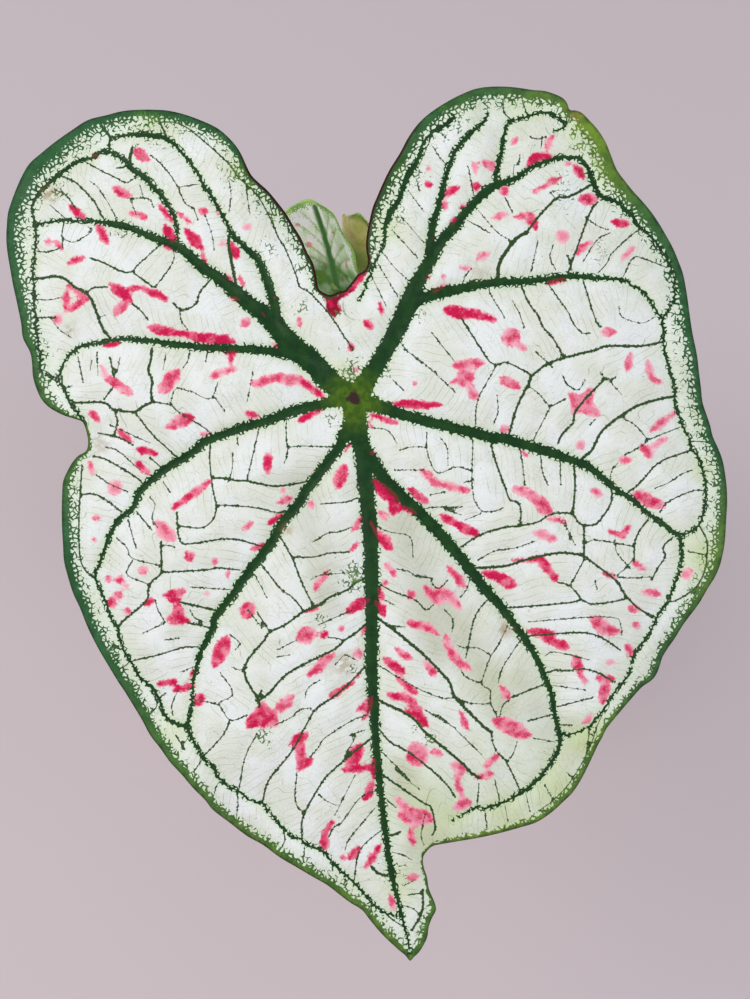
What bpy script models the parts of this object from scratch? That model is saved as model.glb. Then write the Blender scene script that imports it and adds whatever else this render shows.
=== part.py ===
"""A caladium in its clay pot: one large heart-shaped leaf, two young leaves, their petioles, the tuber and the soil.

Metres, +Z up. The origin is the centre of the pot's flat underside, and the large leaf's tip points along -Y.
"""

import math

import bmesh
import bpy
import numpy as np
from mathutils import Vector, geometry, noise

# Driving dimensions, in metres unless the name says otherwise
LEAF_LENGTH = 0.250  # large blade, from the top of its lobes to its tip
BLADE_THICKNESS = 0.0008
RIB_THICKNESS = 0.0022
LEAF_SEAT = (-0.006, -0.106, 0.336)  # where the petiole meets the large blade's underside
LEAF_DIP_DEG = 30.0  # the large blade's slope down towards its tip
EYE_DISTANCE = 0.40  # the outline is drawn as seen from this far off, square to the blade
GAP = 0.0003  # between two pieces that touch

POT_HEIGHT = 0.125
POT_RIM_RADIUS = 0.070
POT_BASE_RADIUS = 0.045
POT_WALL = 0.0055
POT_FLOOR = 0.008
POT_BAND_HEIGHT = 0.024
POT_BAND_STEP = 0.0045
DRAIN_RADIUS = 0.005
DRAIN_CIRCLE = 0.025
DRAINS = 3

SOIL_TOP = POT_HEIGHT - 0.014
SOIL_UNEVENNESS = 0.0012
SOIL_LUMPS = 45.0  # lumps for each metre
TUBER_RADIUS = 0.023
TUBER_HEIGHT = 0.026
TUBER_CROWN_RADIUS = 0.014
TUBER_DEPTH = 0.018  # its crown below the soil's surface

# Petioles: the foot on the tuber's crown, the way each comes to its blade, and the radii at foot and blade
LARGE_FOOT = (0.0, -0.008)
LARGE_ARRIVAL = (0.0, -0.42, 0.90)
LARGE_PETIOLE_RADII = (0.0042, 0.0025)
YOUNG_FOOT = (-0.009, 0.004)
YOUNG_ARRIVAL = (0.05, -0.62, 0.78)
YOUNG_PETIOLE_RADII = (0.0024, 0.0015)
ROLLED_FOOT = (0.009, 0.005)
ROLLED_PETIOLE_RADII = (0.0022, 0.0020)

TURNED_STEPS = 40
EDGE_STEP = 0.0042
RIB_STEP = 0.0055
RIB_FLANK = 0.0021  # from a rib's middle line to the foot of its slope
NET_STEP = 0.0060
NET_CLEAR = 0.0042

# Form of the large blade: how far its parts stand off the plane square to the line of sight
TIP_DROOP = 0.020
LOBE_DROOP = 0.009
SIDE_DROOP = 0.012
SEAT_TO_TIP = 0.160
SEAT_TO_LOBE = 0.090
HALF_WIDTH = 0.100
WAVE_HEIGHT = 0.0030
WAVE_REACH = 0.010
CURL_DEPTH = 0.0022
CURL_REACH = 0.006
GROOVE_DEPTH = 0.0010
QUILT_HEIGHT = 0.0026
QUILT_REACH = 0.011
SEAT_FLAT = 0.008
SEAT_BLEND = 0.022

# The large blade's edge, read as pixels of a picture taken square to the blade: from the bottom of the sinus round the
# left lobe, down to the tip, and up the right side. The picture's centre is EYE_PX.
EYE_PX = (375.0, 499.5)
SEAT_PX = (354.0, 400.0)
EDGE_PX = [
    (340, 291), (330, 295), (321, 291), (316, 275), (307, 252), (294, 227), (278, 203), (250, 173), (240, 152),
    (217, 128), (183, 114), (153, 109.7), (107, 115), (55, 142), (23, 174), (8, 213), (7.5, 253), (17, 303),
    (32, 363), (42, 400), (63, 415), (82.5, 422), (88, 440), (85, 452), (67, 472), (61.7, 512), (64, 561),
    (80, 608), (108, 665), (150, 735), (205, 800), (263, 845), (313, 877), (362, 910), (390, 942), (410, 960),
    (420, 951), (428.7, 927), (436, 910), (429, 889), (423, 858), (442, 844), (500, 833), (552, 812), (582, 778),
    (602, 738), (632, 698), (657, 673), (668, 648), (692, 613), (720, 565), (727.2, 503), (722.5, 460), (706, 413),
    (699, 372), (690, 317), (682.5, 272), (660, 225), (625, 181), (606, 143), (582, 113), (572, 109), (557, 95),
    (507, 86.7), (460, 95), (418, 124), (390, 169), (372.5, 208), (366, 247), (367, 266), (355, 278),
]
# Ribs of the large blade: the middle line in the same pixels, and the width in millimetres at its start and end
RIBS_PX = {
    "midrib": ([(354, 400), (363, 455), (369, 520), (372, 602), (373, 693), (379, 777), (391, 870), (409, 950)], 5.5, 1),
    "right_low": ([(361, 440), (395, 490), (441, 536), (490, 595), (533, 652), (553, 707), (559, 737)], 4, 1.5),
    "right_mid": ([(372, 404), (413, 417), (466, 431), (535, 447), (588, 467), (640, 506), (680, 537)], 4, 1.5),
    "right_lobe": ([(366, 386), (388, 343), (413, 291), (438, 247), (465, 213), (507, 182), (557, 158)], 6, 1.2),
    "right_lobe_side": ([(413, 298), (465, 288), (530, 281), (607, 278), (657, 313)], 3, 1),
    "right_lobe_in": ([(432, 240), (445, 180), (462, 142), (488, 113)], 2.6, 0.8),
    "left_lobe": ([(338, 386), (287, 340), (250, 304), (192, 258), (130, 227.5), (38, 225)], 6, 1),
    "left_lobe_in": ([(275, 318), (261, 265), (227, 223), (188, 160), (150, 135)], 2.6, 0.9),
    "left_high": ([(322, 368), (273, 352), (200, 347), (127, 340), (75, 352)], 2.4, 0.8),
    "left_mid": ([(340, 401), (280, 416), (217, 437), (153, 480), (110, 537), (97, 572), (120, 640)], 3, 1.2),
    "left_low": ([(350, 418), (317, 477), (270, 545), (223, 607), (197, 667), (188, 727)], 3.2, 1.3),
    "left_low_side": ([(357, 582), (303, 612), (247, 663)], 1.6, 0.8),
    "left_tip_side": ([(366, 668), (317, 708), (266, 790)], 1.6, 0.8),
    "right_tip_side": ([(380, 620), (442, 673), (519, 788)], 1.8, 0.8),
    "right_low_side": ([(472, 568), (558, 553), (656, 617)], 1.8, 0.8),
    "right_high_side": ([(510, 432), (543, 368), (607, 346), (662, 342)], 1.8, 0.9),
    "tip_left": ([(365, 743), (314, 796), (302, 840)], 1.4, 0.8),
    "tip_right": ([(382, 775), (422, 802), (432, 835)], 1.4, 0.8),
}

# Young leaves, in millimetres in each blade's own plane, from its petiole's seat: the right half of the edge, from
# the tip round to the sinus
YOUNG_HALF_EDGE = [
    (0, 38), (2.5, 36.8), (6.5, 36), (12, 33.5), (16.5, 28.5), (19.5, 20.5), (20.5, 10), (19.5, -2), (16.5, -11.5),
    (10, -17), (4, -16), (0, -8.5),
]
YOUNG_MIDRIB = [(0, -4), (0, 12), (0, 34)]
YOUNG_HALF_RIBS = [[(1, -1), (5, -7), (10, -12)], [(1, 2), (7, 6), (15, 6)], [(1, 10), (6, 16), (12, 19)]]
YOUNG_SEAT = (-0.0148, 0.0126, 0.240)
YOUNG_AXIS = (-0.20, 0.38, 0.90)  # from the seat to the tip
YOUNG_YAW_DEG = 35.0
YOUNG_FOLD = 0.62  # rise of each half for each unit out from the midrib
YOUNG_FOLD_ROUND = 0.004
YOUNG_TIP_BEND = -0.002
YOUNG_WAVE = 0.0007
YOUNG_GROOVE = 0.0006
YOUNG_EDGE_STEP = 0.0030
YOUNG_RIB_STEP = 0.0034
YOUNG_NET_STEP = 0.0036
YOUNG_FLANK = 0.0016
YOUNG_SEAT_FLAT = 0.0045
YOUNG_SEAT_BLEND = 0.011

# The rolled leaf: a sheet wound round its own axis, in metres
ROLLED_BASE = (-0.0016, 0.0290, 0.2225)
ROLLED_AXIS = (0.02, 0.0, 1.0)
ROLLED_LENGTH = 0.050
ROLLED_HALF_WIDTH = 0.0210
ROLLED_RADIUS = 0.0094
ROLLED_NECK_RADIUS = 0.0022
ROLLED_OPENS_BY = 0.55  # the share of its length at which it reaches full radius
ROLLED_OVERLAP = 0.16  # how much further out one margin lies than the other
ROLLED_MOST_TURN = 2.75  # radians to each side
ROLLED_YAW_DEG = -150.0
ROLLED_BLUNTNESS = 0.65  # lower is blunter at both ends
ROLLED_ROWS = 16
ROLLED_COLUMNS = 20


def unit(vector):
    """The vector at length one."""
    return Vector(vector).normalized()


def smoothstep(low, high, values):
    """0 below low, 1 above high, and a smooth rise between them."""
    t = np.clip((values - low) / (high - low), 0.0, 1.0)
    return t * t * (3.0 - 2.0 * t)


def spline(points, step, closed):
    """Evenly spaced points on a smooth curve through the given ones."""
    p = np.array(points, float)
    ends = [p[-1:], p, p[:2]] if closed else [2 * p[:1] - p[1:2], p, 2 * p[-1:] - p[-2:-1]]
    p = np.concatenate(ends)
    t = np.linspace(0.0, 1.0, 12, endpoint=False)[:, None]
    fine = [
        0.5 * (2 * b + (c - a) * t + (2 * a - 5 * b + 4 * c - d) * t**2 + (3 * b - a - 3 * c + d) * t**3)
        for a, b, c, d in zip(p[:-3], p[1:-2], p[2:-1], p[3:])
    ]
    fine = np.concatenate(fine + [p[-2:-1]])
    along = np.concatenate([[0.0], np.cumsum(np.linalg.norm(np.diff(fine, axis=0), axis=1))])
    count = max(2, round(along[-1] / step))
    at = np.linspace(0.0, along[-1], count + 1)
    even = np.column_stack([np.interp(at, along, fine[:, axis]) for axis in range(fine.shape[1])])
    return even[:-1] if closed else even


def nearest(points, line, closed=False):
    """Each point's distance to a polyline, and how far along the line its nearest place is, from 0 to 1."""
    start = line
    end = np.roll(line, -1, axis=0)
    if not closed:
        start, end = line[:-1], line[1:]
    way = end - start
    length = np.linalg.norm(way, axis=1)
    offset = points[:, None, :] - start[None, :, :]
    t = np.clip((offset * way).sum(2) / np.maximum(length**2, 1e-12), 0.0, 1.0)
    distance = np.linalg.norm(offset - t[:, :, None] * way, axis=2)
    best = distance.argmin(1)
    rows = np.arange(len(points))
    before = np.concatenate([[0.0], np.cumsum(length)])
    return distance[rows, best], (before[best] + t[rows, best] * length[best]) / before[-1]


def clear_of(points, edge, lines, margin, line_margin):
    """The points that lie this far or more from the edge and from every line."""
    keep = nearest(points, edge, closed=True)[0] > margin
    for line in lines:
        keep &= nearest(points, line)[0] > line_margin
    return points[keep]


def flanks(lines, offset):
    """Points along both sides of each line."""
    sides = []
    for line in lines:
        middle = (line[1:] + line[:-1]) / 2
        way = line[1:] - line[:-1]
        way /= np.linalg.norm(way, axis=1)[:, None]
        square = np.column_stack([-way[:, 1], way[:, 0]]) * offset
        sides += [middle + square, middle - square]
    return np.concatenate(sides)


def staggered_grid(edge, step):
    """Rows of points over the box round the edge, every second row set off by half a step."""
    low, high = edge.min(0), edge.max(0)
    rows = np.arange(low[1], high[1], step * math.sqrt(3) / 2)
    columns = np.arange(low[0], high[0], step)
    return np.array([(x + step / 2 * (i % 2), y) for i, y in enumerate(rows) for x in columns])


def flat_sheet(edge, lines, step, flank, line_margin):
    """Triangles that fill the edge and follow the lines: flat points and faces."""
    points, links = list(edge), []
    for line in lines:
        first = len(points)
        points += list(line)
        links += [(first + i, first + i + 1) for i in range(len(line) - 1)]
    points += list(clear_of(flanks(lines, flank), edge, lines, flank, flank * 0.8))
    points += list(clear_of(staggered_grid(edge, step), edge, lines, step * 0.55, line_margin))
    loop = [list(range(len(edge)))]
    only_inside = 1
    flat, _, faces, *_ = geometry.delaunay_2d_cdt([Vector(p) for p in points], links, loop, only_inside, 1e-6)
    return np.array([tuple(p) for p in flat]), [tuple(f) for f in faces]


def new_object(name, mesh, collection, material=None):
    """Links a mesh object to the collection, with its material."""
    obj = bpy.data.objects.new(name, mesh)
    collection.objects.link(obj)
    if material:
        mesh.materials.append(material)
    return obj


def mesh_of(name, points, faces):
    """A triangle mesh with its normals made to agree."""
    mesh = bpy.data.meshes.new(name)
    mesh.from_pydata([tuple(p) for p in points], [], faces)
    bm = bmesh.new()
    bm.from_mesh(mesh)
    bmesh.ops.triangulate(bm, faces=bm.faces)
    bm.to_mesh(mesh)
    bm.free()
    return mesh


def plain_material(name, colour, roughness):
    """A Principled material of one colour."""
    material = bpy.data.materials.new(name)
    material.use_nodes = True
    shader = material.node_tree.nodes["Principled BSDF"]
    shader.inputs["Base Color"].default_value = (*colour, 1.0)
    shader.inputs["Roughness"].default_value = roughness
    return material


def thicken(obj, rib_weight):
    """Gives an open blade its thickness on the underside, with more of it along the ribs."""
    group = obj.vertex_groups.new(name="ribs")
    for index, weight in enumerate(rib_weight):
        group.add([index], float(weight), "REPLACE")
    solid = obj.modifiers.new("thickness", "SOLIDIFY")
    solid.thickness = RIB_THICKNESS
    solid.offset = -1.0
    solid.vertex_group = "ribs"
    solid.thickness_vertex_group = BLADE_THICKNESS / RIB_THICKNESS
    obj.data.shade_smooth()


def turned(name, profile, collection, material=None):
    """A solid turned round Z from a profile of (radius, height) that runs down its outer side."""
    mesh = bpy.data.meshes.new(name)
    points = [(radius, 0.0, height) for radius, height in profile]
    mesh.from_pydata(points, [(i, i + 1) for i in range(len(points) - 1)], [])
    obj = new_object(name, mesh, collection, material)
    screw = obj.modifiers.new("turn", "SCREW")
    screw.steps = screw.render_steps = TURNED_STEPS
    screw.use_merge_vertices = True
    screw.merge_threshold = 0.00001
    return obj


def applied(obj):
    """The object with its modifiers worked into its mesh."""
    bpy.context.view_layer.update()
    graph = bpy.context.evaluated_depsgraph_get()
    mesh = bpy.data.meshes.new_from_object(obj.evaluated_get(graph))
    obj.modifiers.clear()
    obj.data = mesh
    return obj


def cut(obj, cutters, name):
    """Cuts the cutters from the object, one after another."""
    for index, cutter in enumerate(cutters):
        cutter.hide_render = True
        cutter.display_type = "WIRE"
        boolean = obj.modifiers.new(f"{name}_{index}", "BOOLEAN")
        boolean.operation = "DIFFERENCE"
        boolean.object = cutter


def stalk(name, path, radii, collection, material=None):
    """A round tapering stalk as a mesh, from a poly curve with filled caps."""
    curve = bpy.data.curves.new(name, "CURVE")
    curve.dimensions = "3D"
    curve.bevel_depth = 1.0
    curve.bevel_resolution = 3
    curve.use_fill_caps = True
    line = curve.splines.new("POLY")
    line.points.add(len(path) - 1)
    for point, place, radius in zip(line.points, path, radii):
        point.co = (*place, 1.0)
        point.radius = radius
    guide = bpy.data.objects.new(f"{name}_guide", curve)
    collection.objects.link(guide)
    bpy.context.view_layer.update()
    mesh = bpy.data.meshes.new_from_object(guide.evaluated_get(bpy.context.evaluated_depsgraph_get()))
    bpy.data.objects.remove(guide)
    bm = bmesh.new()
    bm.from_mesh(mesh)
    bmesh.ops.remove_doubles(bm, verts=bm.verts, dist=0.000005)
    bm.to_mesh(mesh)
    bm.free()
    mesh.materials.clear()
    mesh.name = name
    return new_object(name, mesh, collection, material)


def trim(obj, place, normal):
    """Cuts the object square to the normal, keeps the side behind it and closes the cut."""
    bm = bmesh.new()
    bm.from_mesh(obj.data)
    everything = bm.verts[:] + bm.edges[:] + bm.faces[:]
    made = bmesh.ops.bisect_plane(bm, geom=everything, dist=1e-7, plane_co=place, plane_no=normal, clear_outer=True)
    rim = [item for item in made["geom_cut"] if isinstance(item, bmesh.types.BMEdge)]
    bmesh.ops.contextual_create(bm, geom=rim)
    bmesh.ops.recalc_face_normals(bm, faces=bm.faces)
    bm.to_mesh(obj.data)
    bm.free()
    obj.data.shade_smooth()


def stalk_path(start, end, arrival, first_bend, last_bend):
    """A path that rises straight from its start and comes to its end along the arrival direction."""
    start, end, arrival = Vector(start), Vector(end), unit(arrival)
    up = Vector((0.0, 0.0, 1.0))
    handles = (start, start + up * first_bend, end - arrival * last_bend, end)
    points = geometry.interpolate_bezier(*handles, 22)
    return [tuple(p) for p in points]


def leaf_frame(axis, yaw_deg=0.0):
    """The side, axis and normal of a blade with this axis, turned by yaw about it from facing the front."""
    axis = unit(axis)
    front = Vector((0.0, -1.0, 0.6))
    normal = unit(front - axis * front.dot(axis))
    side = axis.cross(normal)
    yaw = math.radians(yaw_deg)
    normal = normal * math.cos(yaw) - side * math.sin(yaw)
    return axis.cross(normal), axis, normal


def large_blade_relief(flat, edge, ribs):
    """How far each point of the large blade stands towards the eye, and its rib weight. Metres in, metres out."""
    seat = seat_in_plane()
    away = flat - seat
    radius = np.linalg.norm(away, axis=1)
    toward_tip = np.clip(-away[:, 1], 0.0, None)
    toward_lobe = np.clip(away[:, 1], 0.0, None)
    midrib, *_ = ribs[0]
    middle = np.interp(toward_tip, seat[1] - midrib[:, 1], midrib[:, 0] - seat[0])
    across = (away[:, 0] - middle) / HALF_WIDTH
    lift = -TIP_DROOP * (toward_tip / SEAT_TO_TIP) ** 2 - LOBE_DROOP * (toward_lobe / SEAT_TO_LOBE) ** 2
    lift -= SIDE_DROOP * across**2

    to_edge, along = nearest(flat, edge, closed=True)
    turn = along * math.tau
    wave = 0.6 * np.sin(turn * 21) + 0.4 * np.sin(turn * 13 + 1.3)
    from_tip = np.linalg.norm(flat - edge[edge[:, 1].argmin()], axis=1)
    lift += WAVE_HEIGHT * wave * np.exp(-to_edge / WAVE_REACH) * smoothstep(0.012, 0.045, from_tip)
    lift -= CURL_DEPTH * np.exp(-to_edge / CURL_REACH)

    weight = np.zeros(len(flat))
    quilt = np.ones(len(flat))
    for line, wide, narrow in ribs:
        distance, at = nearest(flat, line)
        width = wide + (narrow - wide) * at
        size = np.clip(width / 0.003, 0.4, 1.0)
        slope = np.exp(-((distance / np.maximum(width * 0.75, 0.0016)) ** 2))
        weight = np.maximum(weight, slope * size)
        quilt = np.minimum(quilt, 1.0 - np.exp(-((distance / QUILT_REACH) ** 2)))
        lift -= GROOVE_DEPTH * slope * size
    lift += QUILT_HEIGHT * quilt * smoothstep(0.002, 0.014, to_edge)
    weight = np.maximum(weight, 1.0 - smoothstep(0.006, 0.010, radius))
    return lift * smoothstep(SEAT_FLAT, SEAT_BLEND, radius), weight


def plane_scale():
    """Metres for each pixel of the edge's picture."""
    rows = [y for _, y in EDGE_PX]
    return LEAF_LENGTH / (max(rows) - min(rows))


def in_plane(points):
    """Pixels to metres in the plane square to the line of sight, from the picture's centre."""
    p = np.array(points, float)
    return np.column_stack([p[:, 0] - EYE_PX[0], EYE_PX[1] - p[:, 1]]) * plane_scale()


def seat_in_plane():
    """The petiole's seat in that plane."""
    return in_plane([SEAT_PX])[0]


def sight_frame():
    """The eye, the way that it looks, and the blade plane's right and upward directions."""
    dip = math.radians(LEAF_DIP_DEG)
    ahead = Vector((0.0, math.sin(dip), -math.cos(dip)))
    right = Vector((1.0, 0.0, 0.0))
    upward = right.cross(ahead)
    seat_x, seat_y = seat_in_plane()
    centre = Vector(LEAF_SEAT) - right * seat_x - upward * seat_y
    return centre - ahead * EYE_DISTANCE, ahead, right, upward


def make_large_blade(collection, material):
    """The large blade: a veined sheet with a waved edge, thicker along its ribs."""
    edge = spline(in_plane(EDGE_PX), EDGE_STEP, closed=True)
    ribs = [
        (spline(in_plane(line), RIB_STEP, closed=False), wide / 1000, narrow / 1000)
        for line, wide, narrow in RIBS_PX.values()
    ]
    inner = [line[nearest(line, edge, closed=True)[0] > 0.003] for line, *_ in ribs]
    flat, faces = flat_sheet(edge, inner, NET_STEP, RIB_FLANK, NET_CLEAR)
    lift, weight = large_blade_relief(flat, edge, ribs)
    eye, ahead, right, upward = (np.array(v) for v in sight_frame())
    plane = eye + ahead * EYE_DISTANCE + flat[:, :1] * right + flat[:, 1:] * upward
    points = eye + (plane - eye) * (1.0 - lift / EYE_DISTANCE)[:, None]
    blade = new_object("leaf_1_blade", mesh_of("leaf_1_blade", points, faces), collection, material)
    thicken(blade, weight)


def make_young_blade(collection, material):
    """The young leaf: a small heart folded along its midrib, with its tip bent back."""
    half = np.array(YOUNG_HALF_EDGE, float) / 1000
    edge = spline(np.concatenate([half, half[-2:0:-1] * (-1, 1)]), YOUNG_EDGE_STEP, closed=True)
    lines = [np.array(line, float) / 1000 for line in [YOUNG_MIDRIB, *YOUNG_HALF_RIBS]]
    lines = [spline(line, YOUNG_RIB_STEP, closed=False) for line in lines + [line * (-1, 1) for line in lines[1:]]]
    flat, faces = flat_sheet(edge, lines, YOUNG_NET_STEP, YOUNG_FLANK, YOUNG_FLANK * 1.6)
    radius = np.linalg.norm(flat, axis=1)
    toward_tip = np.clip(flat[:, 1], 0.0, None) / max(y for _, y in half)
    to_edge, along = nearest(flat, edge, closed=True)
    to_rib = np.min([nearest(flat, line)[0] for line in lines], axis=0)
    slope = np.exp(-((to_rib / YOUNG_FLANK) ** 2))

    lift = YOUNG_FOLD * (np.sqrt(flat[:, 0] ** 2 + YOUNG_FOLD_ROUND**2) - YOUNG_FOLD_ROUND)
    lift -= YOUNG_TIP_BEND * toward_tip**3 + YOUNG_GROOVE * slope
    lift += YOUNG_WAVE * np.sin(along * math.tau * 11) * np.exp(-to_edge / 0.004)
    lift *= smoothstep(YOUNG_SEAT_FLAT, YOUNG_SEAT_BLEND, radius)
    side, axis, normal = (np.array(v) for v in leaf_frame(YOUNG_AXIS, YOUNG_YAW_DEG))
    points = np.array(YOUNG_SEAT) + flat[:, :1] * side + flat[:, 1:] * axis + lift[:, None] * normal
    blade = new_object("leaf_2_blade", mesh_of("leaf_2_blade", points, faces), collection, material)
    thicken(blade, np.maximum(slope * 0.35, 1.0 - smoothstep(0.005, 0.008, radius)))


def make_rolled_blade(collection, material):
    """The newest leaf, still rolled: a sheet wound into an open cone above its neck."""
    bm = bmesh.new()
    bmesh.ops.create_grid(bm, x_segments=ROLLED_COLUMNS, y_segments=ROLLED_ROWS, size=1.0)
    bmesh.ops.triangulate(bm, faces=bm.faces)
    side, axis, front = leaf_frame(ROLLED_AXIS, ROLLED_YAW_DEG)
    for vertex in bm.verts:
        u, v = vertex.co.x, (vertex.co.y + 1.0) / 2.0
        opened = math.sin(min(1.0, v / ROLLED_OPENS_BY) * math.pi / 2)
        radius = ROLLED_NECK_RADIUS + (ROLLED_RADIUS - ROLLED_NECK_RADIUS) * opened
        width = ROLLED_HALF_WIDTH * math.sin(math.pi * min(0.985, 0.13 + 0.87 * v**0.85)) ** ROLLED_BLUNTNESS
        angle = u * min(width / radius, ROLLED_MOST_TURN)
        reach = radius * (1.0 + ROLLED_OVERLAP * u * min(1.0, (1.0 - v) / 0.25))
        height = ROLLED_LENGTH * (v - 0.13 * v * u * u)
        vertex.co = Vector(ROLLED_BASE) + axis * height + (side * math.sin(angle) - front * math.cos(angle)) * reach
    mesh = bpy.data.meshes.new("leaf_3_blade")
    bm.to_mesh(mesh)
    bm.free()
    blade = new_object("leaf_3_blade", mesh, collection, material)
    thicken(blade, np.zeros(len(mesh.vertices)))


def make_petioles(collection, cutters, material):
    """The three petioles, from the tuber's crown to the blades, and the holes that they need in the soil."""
    crown = SOIL_TOP - TUBER_DEPTH + GAP
    _, ahead, _, _ = sight_frame()
    _, _, young_normal = leaf_frame(YOUNG_AXIS, YOUNG_YAW_DEG)
    neck = unit(ROLLED_AXIS)
    large_seat, young_seat, rolled_seat = Vector(LEAF_SEAT), Vector(YOUNG_SEAT), Vector(ROLLED_BASE)
    through_seat = 0.004
    stalks = [
        ("leaf_1_petiole", LARGE_FOOT, large_seat, LARGE_ARRIVAL, -ahead, LARGE_PETIOLE_RADII, 0.09),
        ("leaf_2_petiole", YOUNG_FOOT, young_seat, YOUNG_ARRIVAL, young_normal, YOUNG_PETIOLE_RADII, 0.05),
        ("leaf_3_petiole", ROLLED_FOOT, rolled_seat, neck, neck, ROLLED_PETIOLE_RADII, 0.05),
    ]
    holes = []
    for index, (name, foot, seat, arrival, normal, (thick, thin), bend) in enumerate(stalks):
        path = stalk_path((*foot, crown), seat + unit(arrival) * through_seat, arrival, bend, bend * 0.6)
        radii = [thick + (thin - thick) * i / (len(path) - 1) for i in range(len(path))]
        seat_depth = GAP if index == 2 else RIB_THICKNESS + GAP
        trim(stalk(name, path, radii, collection, material), seat - normal * seat_depth, normal)
        below = (path[0][0], path[0][1], path[0][2] - 0.003)
        wide = [radius + GAP for radius in [thick, *radii[:8]]]
        holes.append(stalk(f"hole_{index}", [below, *path[:8]], wide, cutters))
    return holes


def tuber_profile(grow):
    """The tuber's outline, grown by a margin all round."""
    top = SOIL_TOP - TUBER_DEPTH + grow
    middle = SOIL_TOP - TUBER_DEPTH - TUBER_HEIGHT / 2
    flat_angle = math.acos(TUBER_CROWN_RADIUS / TUBER_RADIUS)
    profile = [(0.0, top)]
    for step in range(11):
        angle = flat_angle - (flat_angle + math.pi / 2) * step / 10
        radius = (TUBER_RADIUS + grow) * math.cos(angle)
        height = (TUBER_HEIGHT / 2 + grow) * math.sin(angle) / (math.sin(flat_angle) if angle > 0 else 1.0)
        profile.append((radius if step < 10 else 0.0, middle + height))
    return profile


def pot_inside(height):
    """The pot's inner radius at a height."""
    top, low = POT_RIM_RADIUS - POT_WALL, POT_BASE_RADIUS - POT_WALL
    return low + (top - low) * (height - POT_FLOOR) / (POT_HEIGHT - POT_FLOOR)


def make_pot(collection, cutters, material):
    """The clay pot: a turned wall with a rim band, and drain holes through its floor."""
    band = POT_HEIGHT - POT_BAND_HEIGHT
    under = POT_RIM_RADIUS - POT_BAND_STEP
    profile = [
        (0.0, POT_FLOOR),
        (pot_inside(POT_FLOOR) - 0.003, POT_FLOOR),
        (pot_inside(POT_FLOOR + 0.003), POT_FLOOR + 0.003),
        (pot_inside(POT_HEIGHT * 0.5), POT_HEIGHT * 0.5),
        (pot_inside(POT_HEIGHT - 0.0015), POT_HEIGHT - 0.0015),
        (pot_inside(POT_HEIGHT) + 0.0015, POT_HEIGHT),
        (POT_RIM_RADIUS - 0.0015, POT_HEIGHT),
        (POT_RIM_RADIUS, POT_HEIGHT - 0.0015),
        (POT_RIM_RADIUS - 0.0008, band + 0.0015),
        (POT_RIM_RADIUS - 0.0023, band),
        (under, band - 0.0005),
        (POT_BASE_RADIUS + (under - POT_BASE_RADIUS) * 0.5, band * 0.5),
        (POT_BASE_RADIUS, 0.0015),
        (POT_BASE_RADIUS - 0.0015, 0.0),
        (0.0, 0.0),
    ]
    pot = turned("pot", profile, collection, material)
    drains = []
    for index in range(DRAINS):
        angle = math.tau * index / DRAINS + math.pi / 2
        place = (DRAIN_CIRCLE * math.cos(angle), DRAIN_CIRCLE * math.sin(angle), POT_FLOOR / 2)
        bpy.ops.mesh.primitive_cylinder_add(vertices=16, radius=DRAIN_RADIUS, depth=POT_FLOOR * 2, location=place)
        drain = bpy.context.object
        drain.name = f"drain_{index}"
        for owner in drain.users_collection:
            owner.objects.unlink(drain)
        cutters.objects.link(drain)
        drains.append(drain)
    cut(pot, drains, "drain")
    pot.data.shade_smooth()


def make_soil(collection, cutters, material, holes):
    """The plug of soil in the pot, with an uneven top, a pocket round the tuber and a hole for each petiole."""
    low, inside = POT_FLOOR + GAP, SOIL_TOP
    rings = [0.2, 0.4, 0.6, 0.8, 0.93]
    edge = pot_inside(inside) - GAP
    profile = [(0.0, inside)] + [(edge * ring, inside) for ring in rings]
    profile += [
        (edge, inside),
        (pot_inside(POT_HEIGHT * 0.5) - GAP, POT_HEIGHT * 0.5),
        (pot_inside(low + 0.003) - GAP, low + 0.003),
        (pot_inside(low) - 0.0035, low),
        (0.0, low),
    ]
    soil = applied(turned("soil", profile, collection, material))
    for vertex in soil.data.vertices:
        radius = math.hypot(vertex.co.x, vertex.co.y)
        if vertex.co.z > inside - 1e-5 and radius < edge * 0.97:
            vertex.co.z += SOIL_UNEVENNESS * noise.noise(vertex.co * SOIL_LUMPS)
    pocket = turned("tuber_pocket", tuber_profile(GAP), cutters)
    cut(soil, [pocket, *holes], "hole")


def main():
    """Clears the scene and builds the plant in its pot."""
    for obj in list(bpy.data.objects):
        bpy.data.objects.remove(obj)
    plant = bpy.data.collections.new("caladium")
    cutters = bpy.data.collections.new("cutters")
    bpy.context.scene.collection.children.link(plant)
    bpy.context.scene.collection.children.link(cutters)
    blade = plain_material("white and green blade", (0.66, 0.72, 0.58), 0.45)
    young = plain_material("young blade", (0.36, 0.48, 0.20), 0.45)
    stem = plain_material("petiole", (0.25, 0.36, 0.14), 0.45)
    clay = plain_material("unglazed clay", (0.55, 0.26, 0.15), 0.85)
    earth = plain_material("potting soil", (0.055, 0.038, 0.026), 0.95)
    tuber = plain_material("tuber skin", (0.20, 0.13, 0.08), 0.9)

    make_pot(plant, cutters, clay)
    turned("tuber", tuber_profile(0.0), plant, tuber).data.shade_smooth()
    holes = make_petioles(plant, cutters, stem)
    make_soil(plant, cutters, earth, holes)
    make_large_blade(plant, blade)
    make_young_blade(plant, young)
    make_rolled_blade(plant, young)


main()
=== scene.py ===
import math

import bmesh
import bpy
import numpy as np
from mathutils import Matrix, Vector, geometry, noise


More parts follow.
